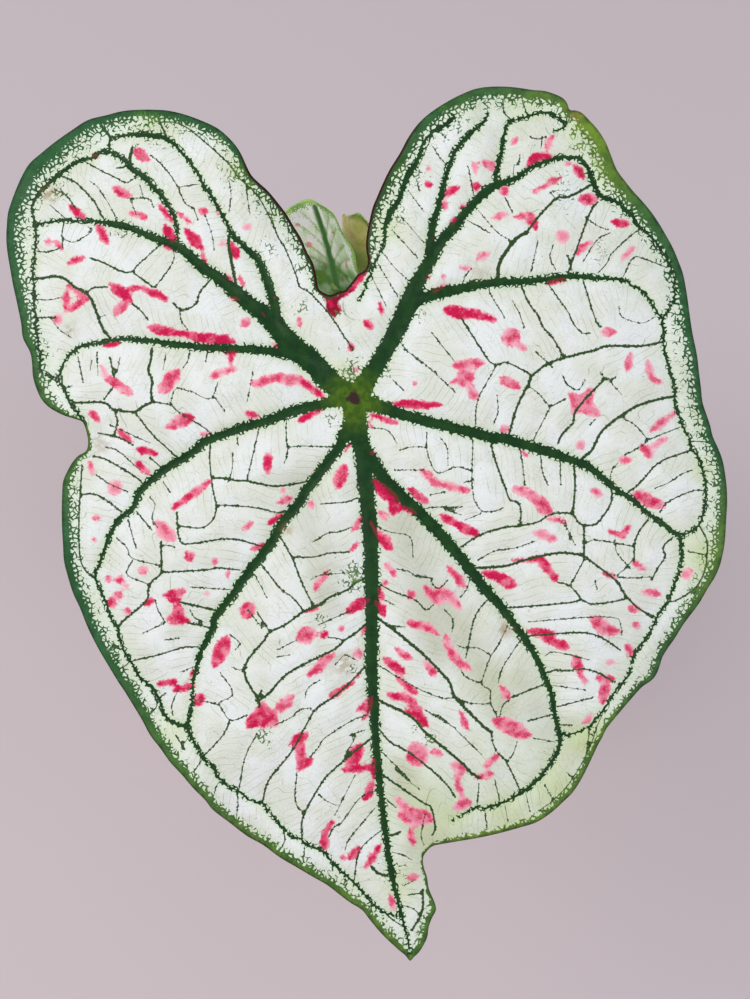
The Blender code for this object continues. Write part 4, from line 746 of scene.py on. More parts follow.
# Pink flecks: from one place to another, width, and depth of colour
flecks = [
    (136, 152, 146, 158, 9, .8), (95, 156, 95, 156, 6, .7), (116, 189, 127, 195, 9, .75),
    (71, 207, 84, 218, 6, .9), (131, 213, 145, 216, 5, .65), (159, 205, 168, 215, 5, .75),
    (168, 215, 173, 222, 3, .75), (166, 228, 173, 242, 9, .95), (178, 213, 190, 222, 4, .7),
    (187, 231, 200, 246, 8, .85), (201, 211, 206, 212, 5, .6), (98, 226, 106, 240, 8, .7),
    (57, 243, 61, 248, 5, .7), (48, 242, 48, 242, 6, .35), (68, 263, 83, 258, 5, .85),
    (165, 246, 176, 251, 4, .7), (232, 244, 236, 256, 9, .95), (218, 205, 218, 213, 4, .6),
    (203, 255, 205, 265, 3, .7), (222, 244, 222, 244, 6, .35), (70, 287, 86, 298, 7, .8),
    (68, 290, 66, 308, 6, .7), (70, 310, 84, 299, 6, .75), (112, 286, 130, 299, 8, .9),
    (128, 290, 140, 288, 5, .8), (140, 288, 158, 295, 6, .75), (157, 295, 167, 299, 5, .9),
    (128, 300, 116, 314, 7, .6), (226, 276, 230, 280, 4, .6), (240, 278, 242, 284, 5, .8),
    (231, 296, 240, 300, 5, .7), (58, 320, 58, 320, 8, .5), (150, 327, 175, 333, 8, .85),
    (175, 333, 200, 337, 6, .85), (195, 338, 232, 341, 10, .9), (245, 322, 245, 322, 10, .45),
    (104, 346, 118, 343, 4, .85), (102, 368, 107, 378, 6, .5), (107, 378, 120, 386, 7, .75),
    (120, 386, 130, 393, 7, .55), (162, 390, 176, 373, 12, .6), (226, 352, 238, 352, 5, .75),
    (231, 354, 231, 366, 3, .7), (211, 376, 235, 368, 6, .6), (255, 383, 275, 378, 9, .55),
    (275, 378, 300, 380, 9, .6), (300, 380, 323, 397, 6, .8), (301, 420, 321, 409, 6, .85),
    (246, 413, 258, 416, 6, .7), (168, 427, 190, 418, 10, .65), (182, 417, 193, 417, 5, .9),
    (91, 413, 98, 420, 5, .6), (119, 431, 129, 440, 7, .6), (137, 449, 156, 454, 4.5, .95),
    (138, 464, 147, 472, 6, .75), (90, 463, 92, 473, 4, .6), (114, 487, 114, 487, 14, .35),
    (175, 507, 209, 482, 7, .75), (94, 518, 99, 518, 5, .55), (94, 539, 94, 539, 5, .6),
    (158, 524, 172, 538, 12, .5), (203, 434, 208, 434, 5, .55), (268, 457, 268, 470, 9, .75),
    (189, 557, 189, 557, 10, .8), (215, 562, 215, 562, 6, .6), (343, 469, 338, 485, 11, .75),
    (346, 450, 352, 442, 4, .9), (348, 424, 349, 435, 3, .75), (313, 474, 328, 462, 4, .85),
    (279, 503, 290, 499, 6, .65), (283, 490, 283, 490, 5, .4), (270, 523, 283, 515, 6, .8),
    (245, 528, 252, 523, 5, .4), (252, 549, 263, 545, 6, .75), (311, 505, 311, 505, 6, .6),
    (353, 530, 363, 517, 5, .75), (352, 549, 356, 544, 5, .6), (361, 480, 361, 490, 3, .9),
    (375, 482, 398, 503, 12, .95), (398, 503, 415, 513, 7, .95), (395, 508, 395, 508, 14, .9),
    (371, 522, 377, 534, 5, .95), (377, 534, 391, 548, 9, .85), (380, 512, 385, 519, 6, .6),
    (410, 490, 426, 502, 6, .8), (421, 470, 435, 483, 6, .6), (435, 483, 467, 490, 7, .65),
    (442, 516, 460, 526, 6, .8), (460, 526, 476, 534, 9, .85), (396, 404, 440, 405, 8, .9),
    (372, 415, 397, 423, 4, .85), (369, 422, 371, 426, 4, .7), (372, 453, 372, 453, 6, .6),
    (449, 568, 462, 584, 8, .6), (426, 588, 434, 599, 6, .6), (440, 596, 440, 596, 17, .6),
    (448, 594, 460, 608, 7, .6), (387, 566, 394, 575, 5, .6), (385, 583, 385, 583, 6, .65),
    (378, 588, 382, 597, 6, .85), (376, 603, 383, 613, 8, .95), (411, 595, 411, 595, 8, .55),
    (316, 588, 327, 571, 6, .65), (348, 611, 368, 600, 10, .8), (306, 612, 318, 607, 5, .8),
    (305, 635, 305, 635, 18, .65), (323, 636, 328, 632, 6, .9), (341, 629, 341, 629, 5, .5),
    (366, 628, 363, 633, 6, .8), (310, 674, 332, 655, 7, .65), (330, 698, 350, 684, 6, .9),
    (350, 684, 362, 670, 3, .9), (358, 653, 358, 653, 8, .5), (411, 623, 430, 629, 7, .7),
    (427, 625, 438, 634, 6, .65), (397, 650, 408, 657, 7, .65), (386, 660, 402, 671, 8, .8),
    (427, 664, 434, 674, 8, .6), (446, 637, 450, 650, 7, .55), (450, 650, 460, 664, 8, .6),
    (460, 664, 470, 669, 7, .6), (400, 679, 415, 692, 7, .75), (391, 695, 408, 698, 6, .8),
    (408, 698, 420, 712, 7, .8), (405, 712, 420, 718, 5, .95), (418, 714, 426, 724, 9, .85),
    (372, 697, 368, 712, 8, .9), (368, 712, 363, 719, 5, .85), (358, 710, 367, 702, 5, .7),
    (460, 712, 467, 727, 7, .6), (416, 755, 416, 755, 20, .72), (433, 752, 441, 754, 6, .55),
    (453, 765, 463, 768, 8, .55), (459, 770, 458, 785, 7, .55), (459, 785, 464, 803, 6, .5),
    (455, 808, 468, 803, 7, .5), (478, 776, 490, 775, 8, .6), (487, 765, 497, 756, 7, .6),
    (360, 747, 350, 762, 12, .8), (345, 769, 372, 768, 7, .85), (375, 760, 374, 778, 6, .9),
    (373, 783, 365, 798, 6, .85), (292, 743, 304, 735, 8, .8), (300, 745, 301, 766, 10, .75),
    (301, 768, 310, 760, 7, .75), (250, 725, 262, 712, 12, .8), (262, 712, 275, 722, 12, .7),
    (278, 709, 291, 698, 10, .5), (199, 700, 199, 700, 13, .8), (158, 684, 175, 682, 5, .85),
    (175, 690, 193, 686, 6, .85), (191, 676, 195, 672, 3, .85), (216, 662, 226, 640, 13, .7),
    (248, 610, 248, 610, 16, .75), (165, 595, 182, 592, 7, .8), (170, 600, 178, 600, 5, .8),
    (167, 619, 187, 621, 7, .8), (178, 613, 178, 613, 12, .75), (147, 603, 153, 600, 7, .75),
    (109, 579, 109, 579, 7, .6), (120, 580, 120, 580, 7, .65), (126, 586, 126, 586, 5, .4),
    (119, 595, 119, 595, 8, .65), (112, 602, 112, 602, 10, .75), (127, 611, 127, 611, 6, .6),
    (143, 570, 143, 570, 8, .6), (228, 572, 228, 578, 4, .65), (207, 594, 207, 594, 4, .45),
    (447, 310, 470, 314, 11, .95), (470, 314, 494, 319, 7, .85), (432, 293, 447, 285, 5, .55),
    (443, 277, 443, 277, 4, .5), (463, 268, 469, 269, 4, .35), (479, 258, 487, 254, 6, .5),
    (548, 282, 566, 278, 5, .95), (529, 165, 535, 156, 9, .9), (535, 156, 550, 157, 5, .85),
    (547, 146, 553, 137, 5, .65), (513, 143, 517, 138, 4, .5), (535, 191, 560, 178, 5, .65),
    (565, 164, 570, 164, 3, .4), (575, 167, 582, 176, 7, .75), (582, 200, 594, 198, 10, .65),
    (504, 191, 504, 191, 9, .55), (493, 218, 505, 215, 6, .45), (516, 217, 530, 215, 6, .6),
    (530, 216, 535, 226, 9, .85), (563, 236, 563, 236, 12, .3), (576, 253, 584, 246, 7, .6),
    (584, 246, 591, 243, 4, .5), (613, 222, 627, 224, 8, .9), (622, 259, 633, 249, 5, .35),
    (474, 165, 476, 172, 5, .5), (476, 186, 476, 186, 8, .75), (486, 163, 494, 168, 7, .6),
    (447, 193, 457, 188, 6, .8), (428, 185, 428, 185, 8, .8), (428, 168, 428, 168, 5, .4),
    (462, 207, 474, 202, 4, .9), (474, 202, 479, 195, 2.5, .7), (450, 227, 458, 218, 5, .9),
    (433, 237, 432, 246, 5, .95), (444, 205, 444, 205, 6, .6), (425, 280, 428, 272, 4, .6),
    (511, 337, 511, 337, 18, .55), (518, 345, 524, 348, 6, .5), (456, 365, 482, 363, 8, .55),
    (465, 378, 465, 378, 18, .55), (452, 383, 465, 378, 6, .55), (468, 385, 476, 397, 8, .55),
    (502, 378, 517, 387, 7, .6), (571, 396, 596, 412, 12, .5), (575, 410, 590, 393, 12, .55),
    (576, 413, 590, 392, 3, .8), (631, 356, 627, 368, 7, .5), (648, 364, 652, 378, 6, .5),
    (652, 380, 660, 382, 6, .5), (603, 332, 613, 332, 7, .5), (652, 430, 675, 412, 6, .5),
    (643, 447, 650, 455, 8, .55), (650, 448, 665, 440, 6, .45), (620, 461, 630, 461, 6, .5),
    (636, 496, 660, 505, 12, .65), (593, 491, 600, 494, 6, .5), (581, 445, 581, 445, 7, .3),
    (505, 430, 505, 430, 8, .4), (519, 450, 526, 455, 4, .5), (515, 488, 540, 500, 9, .55),
    (540, 500, 548, 512, 12, .6), (549, 519, 564, 522, 5, .6), (537, 533, 555, 538, 8, .4),
    (611, 532, 622, 536, 6, .75), (622, 534, 629, 527, 6, .7), (513, 560, 530, 560, 4, .7),
    (530, 560, 540, 558, 7, .95), (540, 560, 550, 572, 8, .8), (550, 572, 556, 580, 8, .75),
    (485, 573, 503, 578, 10, .95), (503, 580, 514, 585, 10, .75), (604, 573, 615, 577, 5, .75),
    (634, 563, 642, 568, 6, .6), (687, 574, 687, 574, 10, .5), (645, 592, 658, 594, 7, .5),
    (632, 608, 638, 610, 7, .55), (636, 625, 636, 625, 7, .5), (594, 620, 610, 632, 12, .6),
    (612, 631, 619, 631, 6, .55), (627, 647, 633, 654, 7, .65), (531, 632, 555, 634, 8, .95),
    (545, 638, 566, 646, 8, .75), (576, 658, 580, 668, 8, .65), (578, 668, 585, 682, 6, .65),
    (575, 668, 583, 669, 3, .85), (599, 678, 612, 679, 7, .7), (605, 683, 603, 702, 7, .7),
    (607, 663, 614, 663, 6, .25), (583, 722, 592, 717, 4, .6), (502, 688, 508, 698, 6, .6),
    (498, 722, 526, 734, 14, .6), (397, 800, 410, 812, 8, .6), (405, 816, 427, 819, 16, .6),
    (410, 830, 413, 844, 5, .7), (410, 878, 416, 877, 8, .75), (390, 897, 393, 908, 6, .6),
    (332, 822, 325, 835, 5, .85), (325, 835, 324, 848, 9, .85), (351, 857, 358, 849, 7, .85),
    (366, 866, 380, 846, 6, .85), (343, 858, 343, 858, 4, .7), (379, 303, 382, 313, 5, .8),
    (366, 322, 371, 327, 5, .8), (299, 319, 300, 324, 4, .7), (259, 307, 265, 317, 5, .95),
    (248, 227, 248, 227, 6, .4), (274, 298, 274, 298, 4, .6), (349, 343, 352, 349, 4, .9),
    (273, 343, 279, 350, 2.5, .6), (356, 370, 356, 370, 5, .45), (415, 383, 415, 383, 5, .5),
    (322, 293, 345, 292, 5, 1.2), (330, 297, 334, 313, 10, 1.3), (345, 290, 366, 270, 6, 1.15),
    (321, 292, 332, 299, 5, 1.1), (334, 300, 334, 313, 11, 1.3), (338, 299, 350, 287, 7, 1.2),
    (349, 289, 362, 276, 6, 1.0), (416, 750, 420, 758, 18, .5), (263, 706, 264, 722, 11, .75),
]
# The margin, by place on the rim: the green band's width, how far its dots reach, and how yellow its green is
margins = [
    (340, 291, 2, 2, .2), (316, 275, 3, 6, .1), (278, 203, 3, 11, .1), (240, 152, 4, 8, 0), (183, 114, 6, 11, 0),
    (107, 115, 6, 16, 0), (72, 130, 8, 17, 0), (42, 152, 12, 18, 0), (20, 180, 12, 18, 0), (8, 213, 8, 16, 0),
    (10, 268, 8, 14, 0), (32, 352, 7, 12, .1), (50, 408, 5, 8, .2), (63, 415, 3, 4, .2), (75, 419, 1.5, 2, .3),
    (88, 440, 2.5, 1.5, .4), (78, 456, 2, 4, .3), (66, 473, 5, 9, .2), (62, 528, 7, 11, 0), (93, 640, 7, 11, 0),
    (125, 692, 8, 8, .1), (160, 748, 7, 7, .25), (182, 775, 6, 8, .3), (213, 810, 6, 6, .35),
    (263, 845, 5, 6, .5), (300, 869, 5, 8, .4), (350, 902, 5, 8, .5), (390, 942, 4, 8, .5), (410, 961, 5, 8, .5),
    (427, 938, 4, 7, .4), (436, 910, 4, 6, .4), (430, 890, 1.5, 3, .4), (424, 865, .8, 1.5, .5),
    (430, 848, 1, 2, .6), (460, 841, 2.5, 4, .8), (500, 833, 3, 4, .8), (552, 812, 4, 5, .6),
    (582, 778, 4, 5, .5), (602, 738, 3, 4, .6), (625, 705, 4, 4, .3), (657, 673, 5, 5, .1), (683, 625, 5, 8, .2),
    (708, 588, 6, 10, .5), (720, 565, 6, 14, .5), (726, 525, 6, 12, .4), (725, 480, 6, 9, .1),
    (718, 448, 5, 10, 0), (699, 372, 5, 13, 0), (685, 283, 7, 13, 0), (665, 235, 9, 12, .1),
    (643, 202, 10, 14, .2), (625, 181, 9, 18, .5), (606, 143, 9, 22, .9), (590, 121, 9, 20, .9),
    (578, 111, 7, 14, .8), (569, 109, 5, 12, .6), (545, 91, 8, 12, .5), (520, 88, 7, 12, .3),
    (490, 87, 7, 14, .1), (460, 95, 8, 14, .15), (430, 113, 8, 12, 0), (400, 153, 8, 12, .1),
    (383, 183, 5, 14, .1), (369, 223, 3.5, 14, .2), (366, 247, 3, 10, .2), (360, 273, 1.5, 2, .2),
]
# Soft folds in the blade: from one place to another, reach to each side, and height in millimetres
folds = [
    (405, 530, 440, 650, 24, -1.2), (440, 600, 505, 710, 22, -1.0), (520, 680, 565, 745, 20, -0.8),
    (400, 780, 440, 870, 20, -1.4), (300, 490, 330, 600, 20, -0.8), (487, 750, 495, 800, 9, 0.9),
    (425, 820, 428, 850, 9, 0.8), (150, 560, 190, 640, 26, 0.7), (560, 300, 640, 300, 30, 0.8),
    (100, 260, 160, 320, 30, 0.6),
]
# Places where the net stays green between the veins: place, reach and strength
green_places = [
    (353, 378, 17, 0.95), (354, 362, 9, 0.67), (330, 420, 9, 0.62), (384, 374, 10, 0.67), (215, 135, 12, 0.67),
    (250, 185, 12, 0.67), (275, 215, 11, 0.67), (292, 248, 8, 0.67), (302, 308, 8, 0.72), (300, 268, 8, 0.67),
    (338, 313, 6, 0.77), (322, 384, 8, 0.57), (392, 212, 15, 0.77), (408, 175, 17, 0.77), (448, 118, 22, 0.77),
    (235, 172, 16, 0.72), (262, 200, 14, 0.67), (418, 312, 9, 0.67), (445, 290, 9, 0.67), (150, 122, 30, 0.67),
    (57, 190, 16, 0.57), (355, 576, 15, 0.98), (264, 737, 10, 0.77), (430, 740, 8, 0.67), (418, 727, 7, 0.67),
    (321, 620, 8, 0.67), (355, 668, 8, 0.67), (268, 248, 12, 0.57), (560, 190, 16, 0.57), (600, 250, 12, 0.47),
    (395, 870, 16, 0.47), (120, 232, 12, 0.47),
]
# Places where the tissue is tinged with lime: place, reach and strength
limes = [
    (590, 740, 26, 0.75), (560, 790, 34, 0.65), (505, 818, 34, 0.55), (440, 812, 46, 0.55), (520, 760, 42, 0.25),
    (500, 700, 50, 0.18), (402, 885, 26, 0.45), (172, 735, 20, 0.40), (705, 555, 22, 0.70), (700, 420, 14, 0.4),
    (612, 160, 24, 0.60), (585, 125, 18, 0.6), (520, 105, 26, 0.35), (395, 760, 30, 0.2), (240, 170, 18, 0.35),
    (385, 230, 16, 0.45), (345, 375, 22, 0.4), (150, 122, 30, 0.3), (85, 425, 12, 0.2), (703, 470, 12, 0.4),
    (30, 260, 12, 0.2),
]
# Tan scars: place, reach, and how brown
scars = [
    (50, 195, 8, 0.7), (101, 445, 9, 0.4), (287, 530, 6, 0.5), (505, 630, 7, 0.7), (343, 665, 11, 0.5),
    (480, 272, 8, 0.35), (575, 112, 7, 1.0), (70, 330, 7, 0.4),
]


def smoothed(low, high, values):
    """0 below low, 1 above high, and a smooth rise between them."""
    t = np.clip((values - low) / (high - low), 0.0, 1.0)
    return t * t * (3.0 - 2.0 * t)


def on_plane(places):
    """Places in the picture as metres from its middle, with any width after them in metres too."""
    p = np.array(places, float)
    return np.column_stack([p[:, 0] - picture_middle[0], picture_middle[1] - p[:, 1], p[:, 2:]]) * point_size


def run_of(line):
    """The length of the line that lies before each of its places."""
    return np.concatenate([[0.0], np.cumsum(np.linalg.norm(np.diff(line[:, :2], axis=0), axis=1))])


def spline(places, step, closed=False):
    """Evenly spaced places on a smooth curve through the given ones."""
    p = np.array(places, float)
    ends = [p[-1:], p, p[:2]] if closed else [2 * p[:1] - p[1:2], p, 2 * p[-1:] - p[-2:-1]]
    p = np.concatenate(ends)
    t = np.linspace(0.0, 1.0, 8, endpoint=False)[:, None]
    parts = [
        0.5 * (2 * b + (c - a) * t + (2 * a - 5 * b + 4 * c - d) * t**2 + (3 * b - a - 3 * c + d) * t**3)
        for a, b, c, d in zip(p[:-3], p[1:-2], p[2:-1], p[3:])
    ]
    close = np.concatenate(parts + [p[-2:-1]])
    along = run_of(close)
    at = np.linspace(0.0, along[-1], max(2, round(along[-1] / step)) + 1)
    even = np.column_stack([np.interp(at, along, column) for column in close.T])
    return even[:-1] if closed else even


def nearest(points, line, most):
    """Each point's distance to a line, measured up to most, and the share of the line that lies before that place."""
    distance, passed = np.full(len(points), most), np.zeros(len(points))
    low, high = line.min(0) - most, line.max(0) + most
    inside = np.flatnonzero(((points > low) & (points < high)).all(1))
    start, way = line[:-1], np.diff(line, axis=0)
    length = np.linalg.norm(way, axis=1)
    before = run_of(line)
    for rows in np.array_split(inside, len(inside) // 1500 + 1):
        offset = points[rows, None] - start
        t = np.clip((offset * way).sum(2) / np.maximum(length**2, 1e-14), 0.0, 1.0)
        apart = np.linalg.norm(offset - t[..., None] * way, axis=2)
        best = apart.argmin(1)
        number = np.arange(len(rows))
        distance[rows] = np.minimum(apart[number, best], most)
        passed[rows] = (before[best] + t[number, best] * length[best]) / before[-1]
    return distance, passed


def from_edge_of(points, line, most):
    """Signed distance to the edge of a line that has widths as its third column, below 0 inside it."""
    distance, passed = nearest(points, line[:, :2], most)
    before = run_of(line)
    return distance - np.interp(passed, before / before[-1], line[:, 2]) / 2


def spread(candidates, gap, taken, cell=0.0008):
    """Adds to taken, a dictionary of cells, those candidates that keep the gap from all in it."""
    kept = []
    for x, y in candidates:
        i, j = math.floor(x / cell), math.floor(y / cell)
        close = (other for a in (-1, 0, 1) for b in (-1, 0, 1) for other in taken.get((i + a, j + b), ()))
        if all((x - u) ** 2 + (y - v) ** 2 > gap * gap for u, v in close):
            taken.setdefault((i, j), []).append((x, y))
            kept.append((x, y))
    return kept


def staggered(outline, step):
    """Rows of places over the outline's box, every second row set off by half a step."""
    low, high = outline.min(0), outline.max(0)
    rows = np.arange(low[1], high[1], step * math.sqrt(3) / 2)
    columns = np.arange(low[0], high[0], step)
    return np.array([(x + step / 2 * (i % 2), y) for i, y in enumerate(rows) for x in columns])


def sheet_in(outline, features, step, feature_gap):
    """Triangles that fill the outline and pass through the features: flat places, and faces that turn leftwards."""
    closed = np.vstack([outline, outline[:1]])
    taken = {}
    spread(outline, 0.0, taken)
    features = features[nearest(features, closed, step)[0] > feature_gap] if len(features) else features
    kept = spread(features, feature_gap, taken)
    grid = staggered(outline, step)
    kept += spread(grid[nearest(grid, closed, step)[0] > step * 0.5], step * 0.6, taken)
    places = [Vector(place) for place in [*outline, *kept]]
    flat, _, faces, *_ = geometry.delaunay_2d_cdt(places, [], [list(range(len(outline)))], 1, 1e-8)
    flat, faces = np.array([tuple(place) for place in flat]), np.array([tuple(face) for face in faces])
    a, b, c = (flat[faces[:, corner]] for corner in range(3))
    turn = (b[:, 0] - a[:, 0]) * (c[:, 1] - a[:, 1]) - (b[:, 1] - a[:, 1]) * (c[:, 0] - a[:, 0])
    faces[turn < 0] = faces[turn < 0][:, ::-1]
    used = np.zeros(len(flat), bool)
    used[faces] = True
    number = used.cumsum() - 1
    return flat[used], number[faces]


def blade_piece(name, outline, features, steps, surface, thickness, markings, finishes):
    """A closed blade: an upper and a lower sheet that share their rim, with its markings kept at each point."""
    upper, upper_faces = sheet_in(outline, features, steps[0], steps[2])
    lower, lower_faces = sheet_in(outline, np.empty((0, 2)), steps[1], steps[2])
    assert np.allclose(upper[: len(outline)], outline, atol=1e-6)
    assert np.allclose(lower[: len(outline)], outline, atol=1e-6)
    above, below = surface(upper), surface(lower)
    a, b, c = (below[lower_faces[:, corner]] for corner in range(3))
    face_way = np.cross(b - a, c - a)
    way = np.zeros_like(below)
    for corner in range(3):
        np.add.at(way, lower_faces[:, corner], face_way)
    way /= np.linalg.norm(way, axis=1)[:, None]
    below = (below - way * thickness(lower)[:, None])[len(outline):]
    number = np.concatenate([np.arange(len(outline)), len(upper) + np.arange(len(below))])
    faces = np.vstack([upper_faces, number[lower_faces][:, ::-1]])
    mesh = bpy.data.meshes.new(name)
    mesh.from_pydata(np.vstack([above, below]).tolist(), [], faces.tolist())
    flat = np.vstack([upper, lower[len(outline):]])
    for label, values in markings(flat).items():
        mesh.attributes.new(label, "FLOAT", "POINT").data.foreach_set("value", values.astype(np.float32))
    laid_flat = mesh.attributes.new("laid_flat", "FLOAT_VECTOR", "POINT")
    laid_flat.data.foreach_set("vector", np.column_stack([flat, np.zeros(len(flat))]).ravel().astype(np.float32))
    blade = new_piece(name, mesh, *finishes)
    mesh.polygons.foreach_set("material_index", (np.arange(len(faces)) >= len(upper_faces)).astype(np.int32))
    mesh.shade_smooth()
    return blade


outline = spline(on_plane(rim), rim_step, closed=True)
closed_outline = np.vstack([outline, outline[:1]])
mains = [spline(on_plane(line), main_step) for line in main_veins]
sides = [
    spline(on_plane([(x, y, width) for x, y in zip(line[::2], line[1::2])]), side_step)
    for width, *line in side_veins
]
strokes = []
for x0, y0, x1, y1, width, depth in flecks:
    length = math.hypot(x1 - x0, y1 - y0) + 0.01
    past = 0.25 * width / length * min(1.0, length / width)
    over = ((x1 - x0) * past + 0.005, (y1 - y0) * past)
    ends = on_plane([(x0 - over[0], y0 - over[1]), (x1 + over[0], y1 + over[1])])
    strokes.append((ends, width * point_size, min(1.0, length / width), depth))
blade_seat, sinus_middle = on_plane([seat_place, sinus_place])
tip = outline[outline[:, 1].argmin()]
margin_at = nearest(on_plane([row[:2] for row in margins]), closed_outline, 0.01)[1]
ahead = Vector((0.0, math.sin(dip), -math.cos(dip)))
across = Vector((1.0, 0.0, 0.0))
upward = across.cross(ahead)
eye = large_seat - across * blade_seat[0] - upward * blade_seat[1] - ahead * eye_distance


def width_at(line, passed, least, most):
    """A line's width where this share of it is passed, kept between two widths."""
    return np.clip(np.interp(passed, np.linspace(0, 1, len(line)), line[:, 2]), least, most)


def folded(flat):
    """Each fold's height, and the share of it that reaches each point."""
    for x0, y0, x1, y1, reach, height in folds:
        distance, _ = nearest(flat, on_plane([(x0, y0), (x1, y1)]), reach * point_size * 2.5)
        yield height, np.exp(-((distance / (reach * point_size)) ** 2))


def blade_relief(flat):
    """How far each place of the large blade stands towards the eye from the plane square to the line of sight."""
    away = flat - blade_seat
    radius = np.linalg.norm(away, axis=1)
    toward_tip, toward_lobe = np.clip(-away[:, 1], 0.0, None), np.clip(away[:, 1], 0.0, None)
    middle = np.interp(toward_tip, blade_seat[1] - mains[0][:, 1], mains[0][:, 0] - blade_seat[0])
    lift = -tip_droop * (toward_tip / 0.160) ** 2 - lobe_droop * (toward_lobe / 0.090) ** 2
    lift -= side_droop * ((away[:, 0] - middle) / 0.100) ** 2
    to_rim, round_rim = nearest(flat, closed_outline, 0.040)
    turn = round_rim * math.tau
    wave = 0.6 * np.sin(turn * 21) + 0.4 * np.sin(turn * 13 + 1.3)
    from_tip = np.linalg.norm(flat - tip, axis=1)
    lift += rim_wave * wave * np.exp(-to_rim / 0.010) * smoothed(0.012, 0.045, from_tip)
    lift -= rim_turned_down * np.exp(-to_rim / 0.006)
    quilt, small_quilt = np.ones(len(flat)), np.ones(len(flat))
    for line in mains:
        distance, passed = nearest(flat, line[:, :2], 0.028)
        width = width_at(line, passed, 0.0008, 0.0055)
        size = np.clip(width / 0.003, 0.25, 1.0)
        lift -= sunk_vein * size * np.exp(-((distance / np.maximum(width * 0.75, 0.0010)) ** 2))
        quilt = np.minimum(quilt, 1.0 - np.exp(-((distance / 0.011) ** 2)))
        small_quilt = np.minimum(small_quilt, 1.0 - np.exp(-((distance / 0.0030) ** 2)))
    for line in sides:
        distance, _ = nearest(flat, line[:, :2], 0.006)
        small_quilt = np.minimum(small_quilt, 1.0 - 0.9 * np.exp(-((distance / 0.0022) ** 2)))
    lift += quilting * quilt * smoothed(0.002, 0.014, to_rim)
    lift += fine_quilting * small_quilt * smoothed(0.001, 0.006, to_rim)
    for height, share in folded(flat):
        lift += height / 1000 * share
    return lift * smoothed(0.008, 0.022, radius)


def blade_surface(flat):
    """The large blade's upper side, in metres."""
    plane = np.array(eye + ahead * eye_distance) + flat[:, :1] * np.array(across) + flat[:, 1:] * np.array(upward)
    return np.array(eye) + (plane - np.array(eye)) * (1.0 - blade_relief(flat) / eye_distance)[:, None]


def blade_thickness(flat):
    """The large blade's thickness, with its ribs: thin at the rim, and thickest where the petiole joins."""
    to_rim, _ = nearest(flat, closed_outline, 0.003)
    thick = np.full(len(flat), tissue)
    for line in mains:
        distance, passed = nearest(flat, line[:, :2], 0.010)
        rib = 0.42 * width_at(line, passed, 0.0007, 0.0045)
        thick = np.maximum(thick, tissue + rib * np.exp(-((distance / rib) ** 4)))
    for line in sides:
        distance, _ = nearest(flat, line[:, :2], 0.004)
        thick = np.maximum(thick, tissue + side_rib * np.exp(-((distance / 0.0007) ** 2)))
    radius = np.linalg.norm(flat - blade_seat, axis=1)
    thick = np.maximum(thick, seat_thickness * (1.0 - smoothed(0.004, 0.011, radius)))
    return np.clip(thick * smoothed(-0.0006, 0.0024, to_rim), 0.0001, None)


def near_places(flat, places):
    """The greatest strength that any of the round places has at each point."""
    strongest = np.zeros(len(flat))
    for x, y, reach, strength in places:
        away = np.linalg.norm(flat - on_plane([(x, y)])[0], axis=1) / (reach * point_size)
        strongest = np.maximum(strongest, strength * np.exp(-(away**2)))
    return strongest


def blade_markings(flat):
    """What the colours of the large blade follow, as distances in millimetres or shares."""
    main, side, nearest_fleck = (np.full(len(flat), 12.0) for _ in range(3))
    ladder, closest, second = (np.full(len(flat), value) for value in (0.0, 60.0, 60.0))
    for number, line in enumerate(mains):
        distance, passed = nearest(flat, np.vstack([line[::4], line[-1:]])[:, :2], 0.060)
        distance = distance * 1000
        length = np.linalg.norm(np.diff(line[:, :2], axis=0), axis=1).sum() * 1000
        ladder = np.where(distance < closest, passed * length - 0.45 * distance + 7.3 * number, ladder)
        second = np.where(distance < closest, closest, np.minimum(second, distance))
        closest = np.minimum(closest, distance)
    depth, joined = np.full(len(flat), 0.6), np.full(len(flat), 1e-9)
    for line in mains:
        main = np.minimum(main, from_edge_of(flat, line, 0.010) * 1000)
    for line in sides:
        side = np.minimum(side, from_edge_of(flat, line, 0.006) * 1000)
    for line, width, slim, shade in strokes:
        distance, passed = nearest(flat, line, 0.006)
        taper = 1.0 - slim * (0.65 - 0.75 * np.sqrt(np.sin(math.pi * passed).clip(0.0)))
        distance = (distance - width / 2 * taper) * 1000
        depth = np.where(distance < nearest_fleck, shade, depth)
        nearest_fleck = np.minimum(nearest_fleck, distance)
        joined += np.exp(-distance / 0.35)
    to_rim, round_rim = nearest(flat, closed_outline, 0.012)
    band, dots, yellow = (np.interp(round_rim, margin_at, column, period=1.0) for column in list(zip(*margins))[2:])
    past = to_rim / point_size - band
    margin = np.where(past < 0, past / band * 1.5, past / dots)
    # Painted shade: how deep each sunken fold is, which greys the tissue's colour along it
    valley = np.max([np.clip(-height, 0, 1) * share for height, share in folded(flat)], axis=0)
    greened, scarred, limed = (near_places(flat, places) for places in (green_places, scars, limes))
    star = np.linalg.norm(flat - blade_seat, axis=1) / point_size
    sinus = np.linalg.norm(flat - sinus_middle, axis=1) / point_size
    return {
        "main_vein": main, "side_vein": side, "fleck": -0.35 * np.log(joined), "fleck_depth": depth,
        "margin": np.clip(margin, -2, 4), "to_rim": to_rim * 1000, "yellow": yellow, "star": star,
        "sinus": 1.0 - smoothed(60.0, 190.0, sinus), "valley": valley, "greened": 1.0 - greened,
        "scarred": scarred, "limed": limed, "ladder": ladder, "on_ladder": smoothed(0.3, 2.0, second - closest),
    }


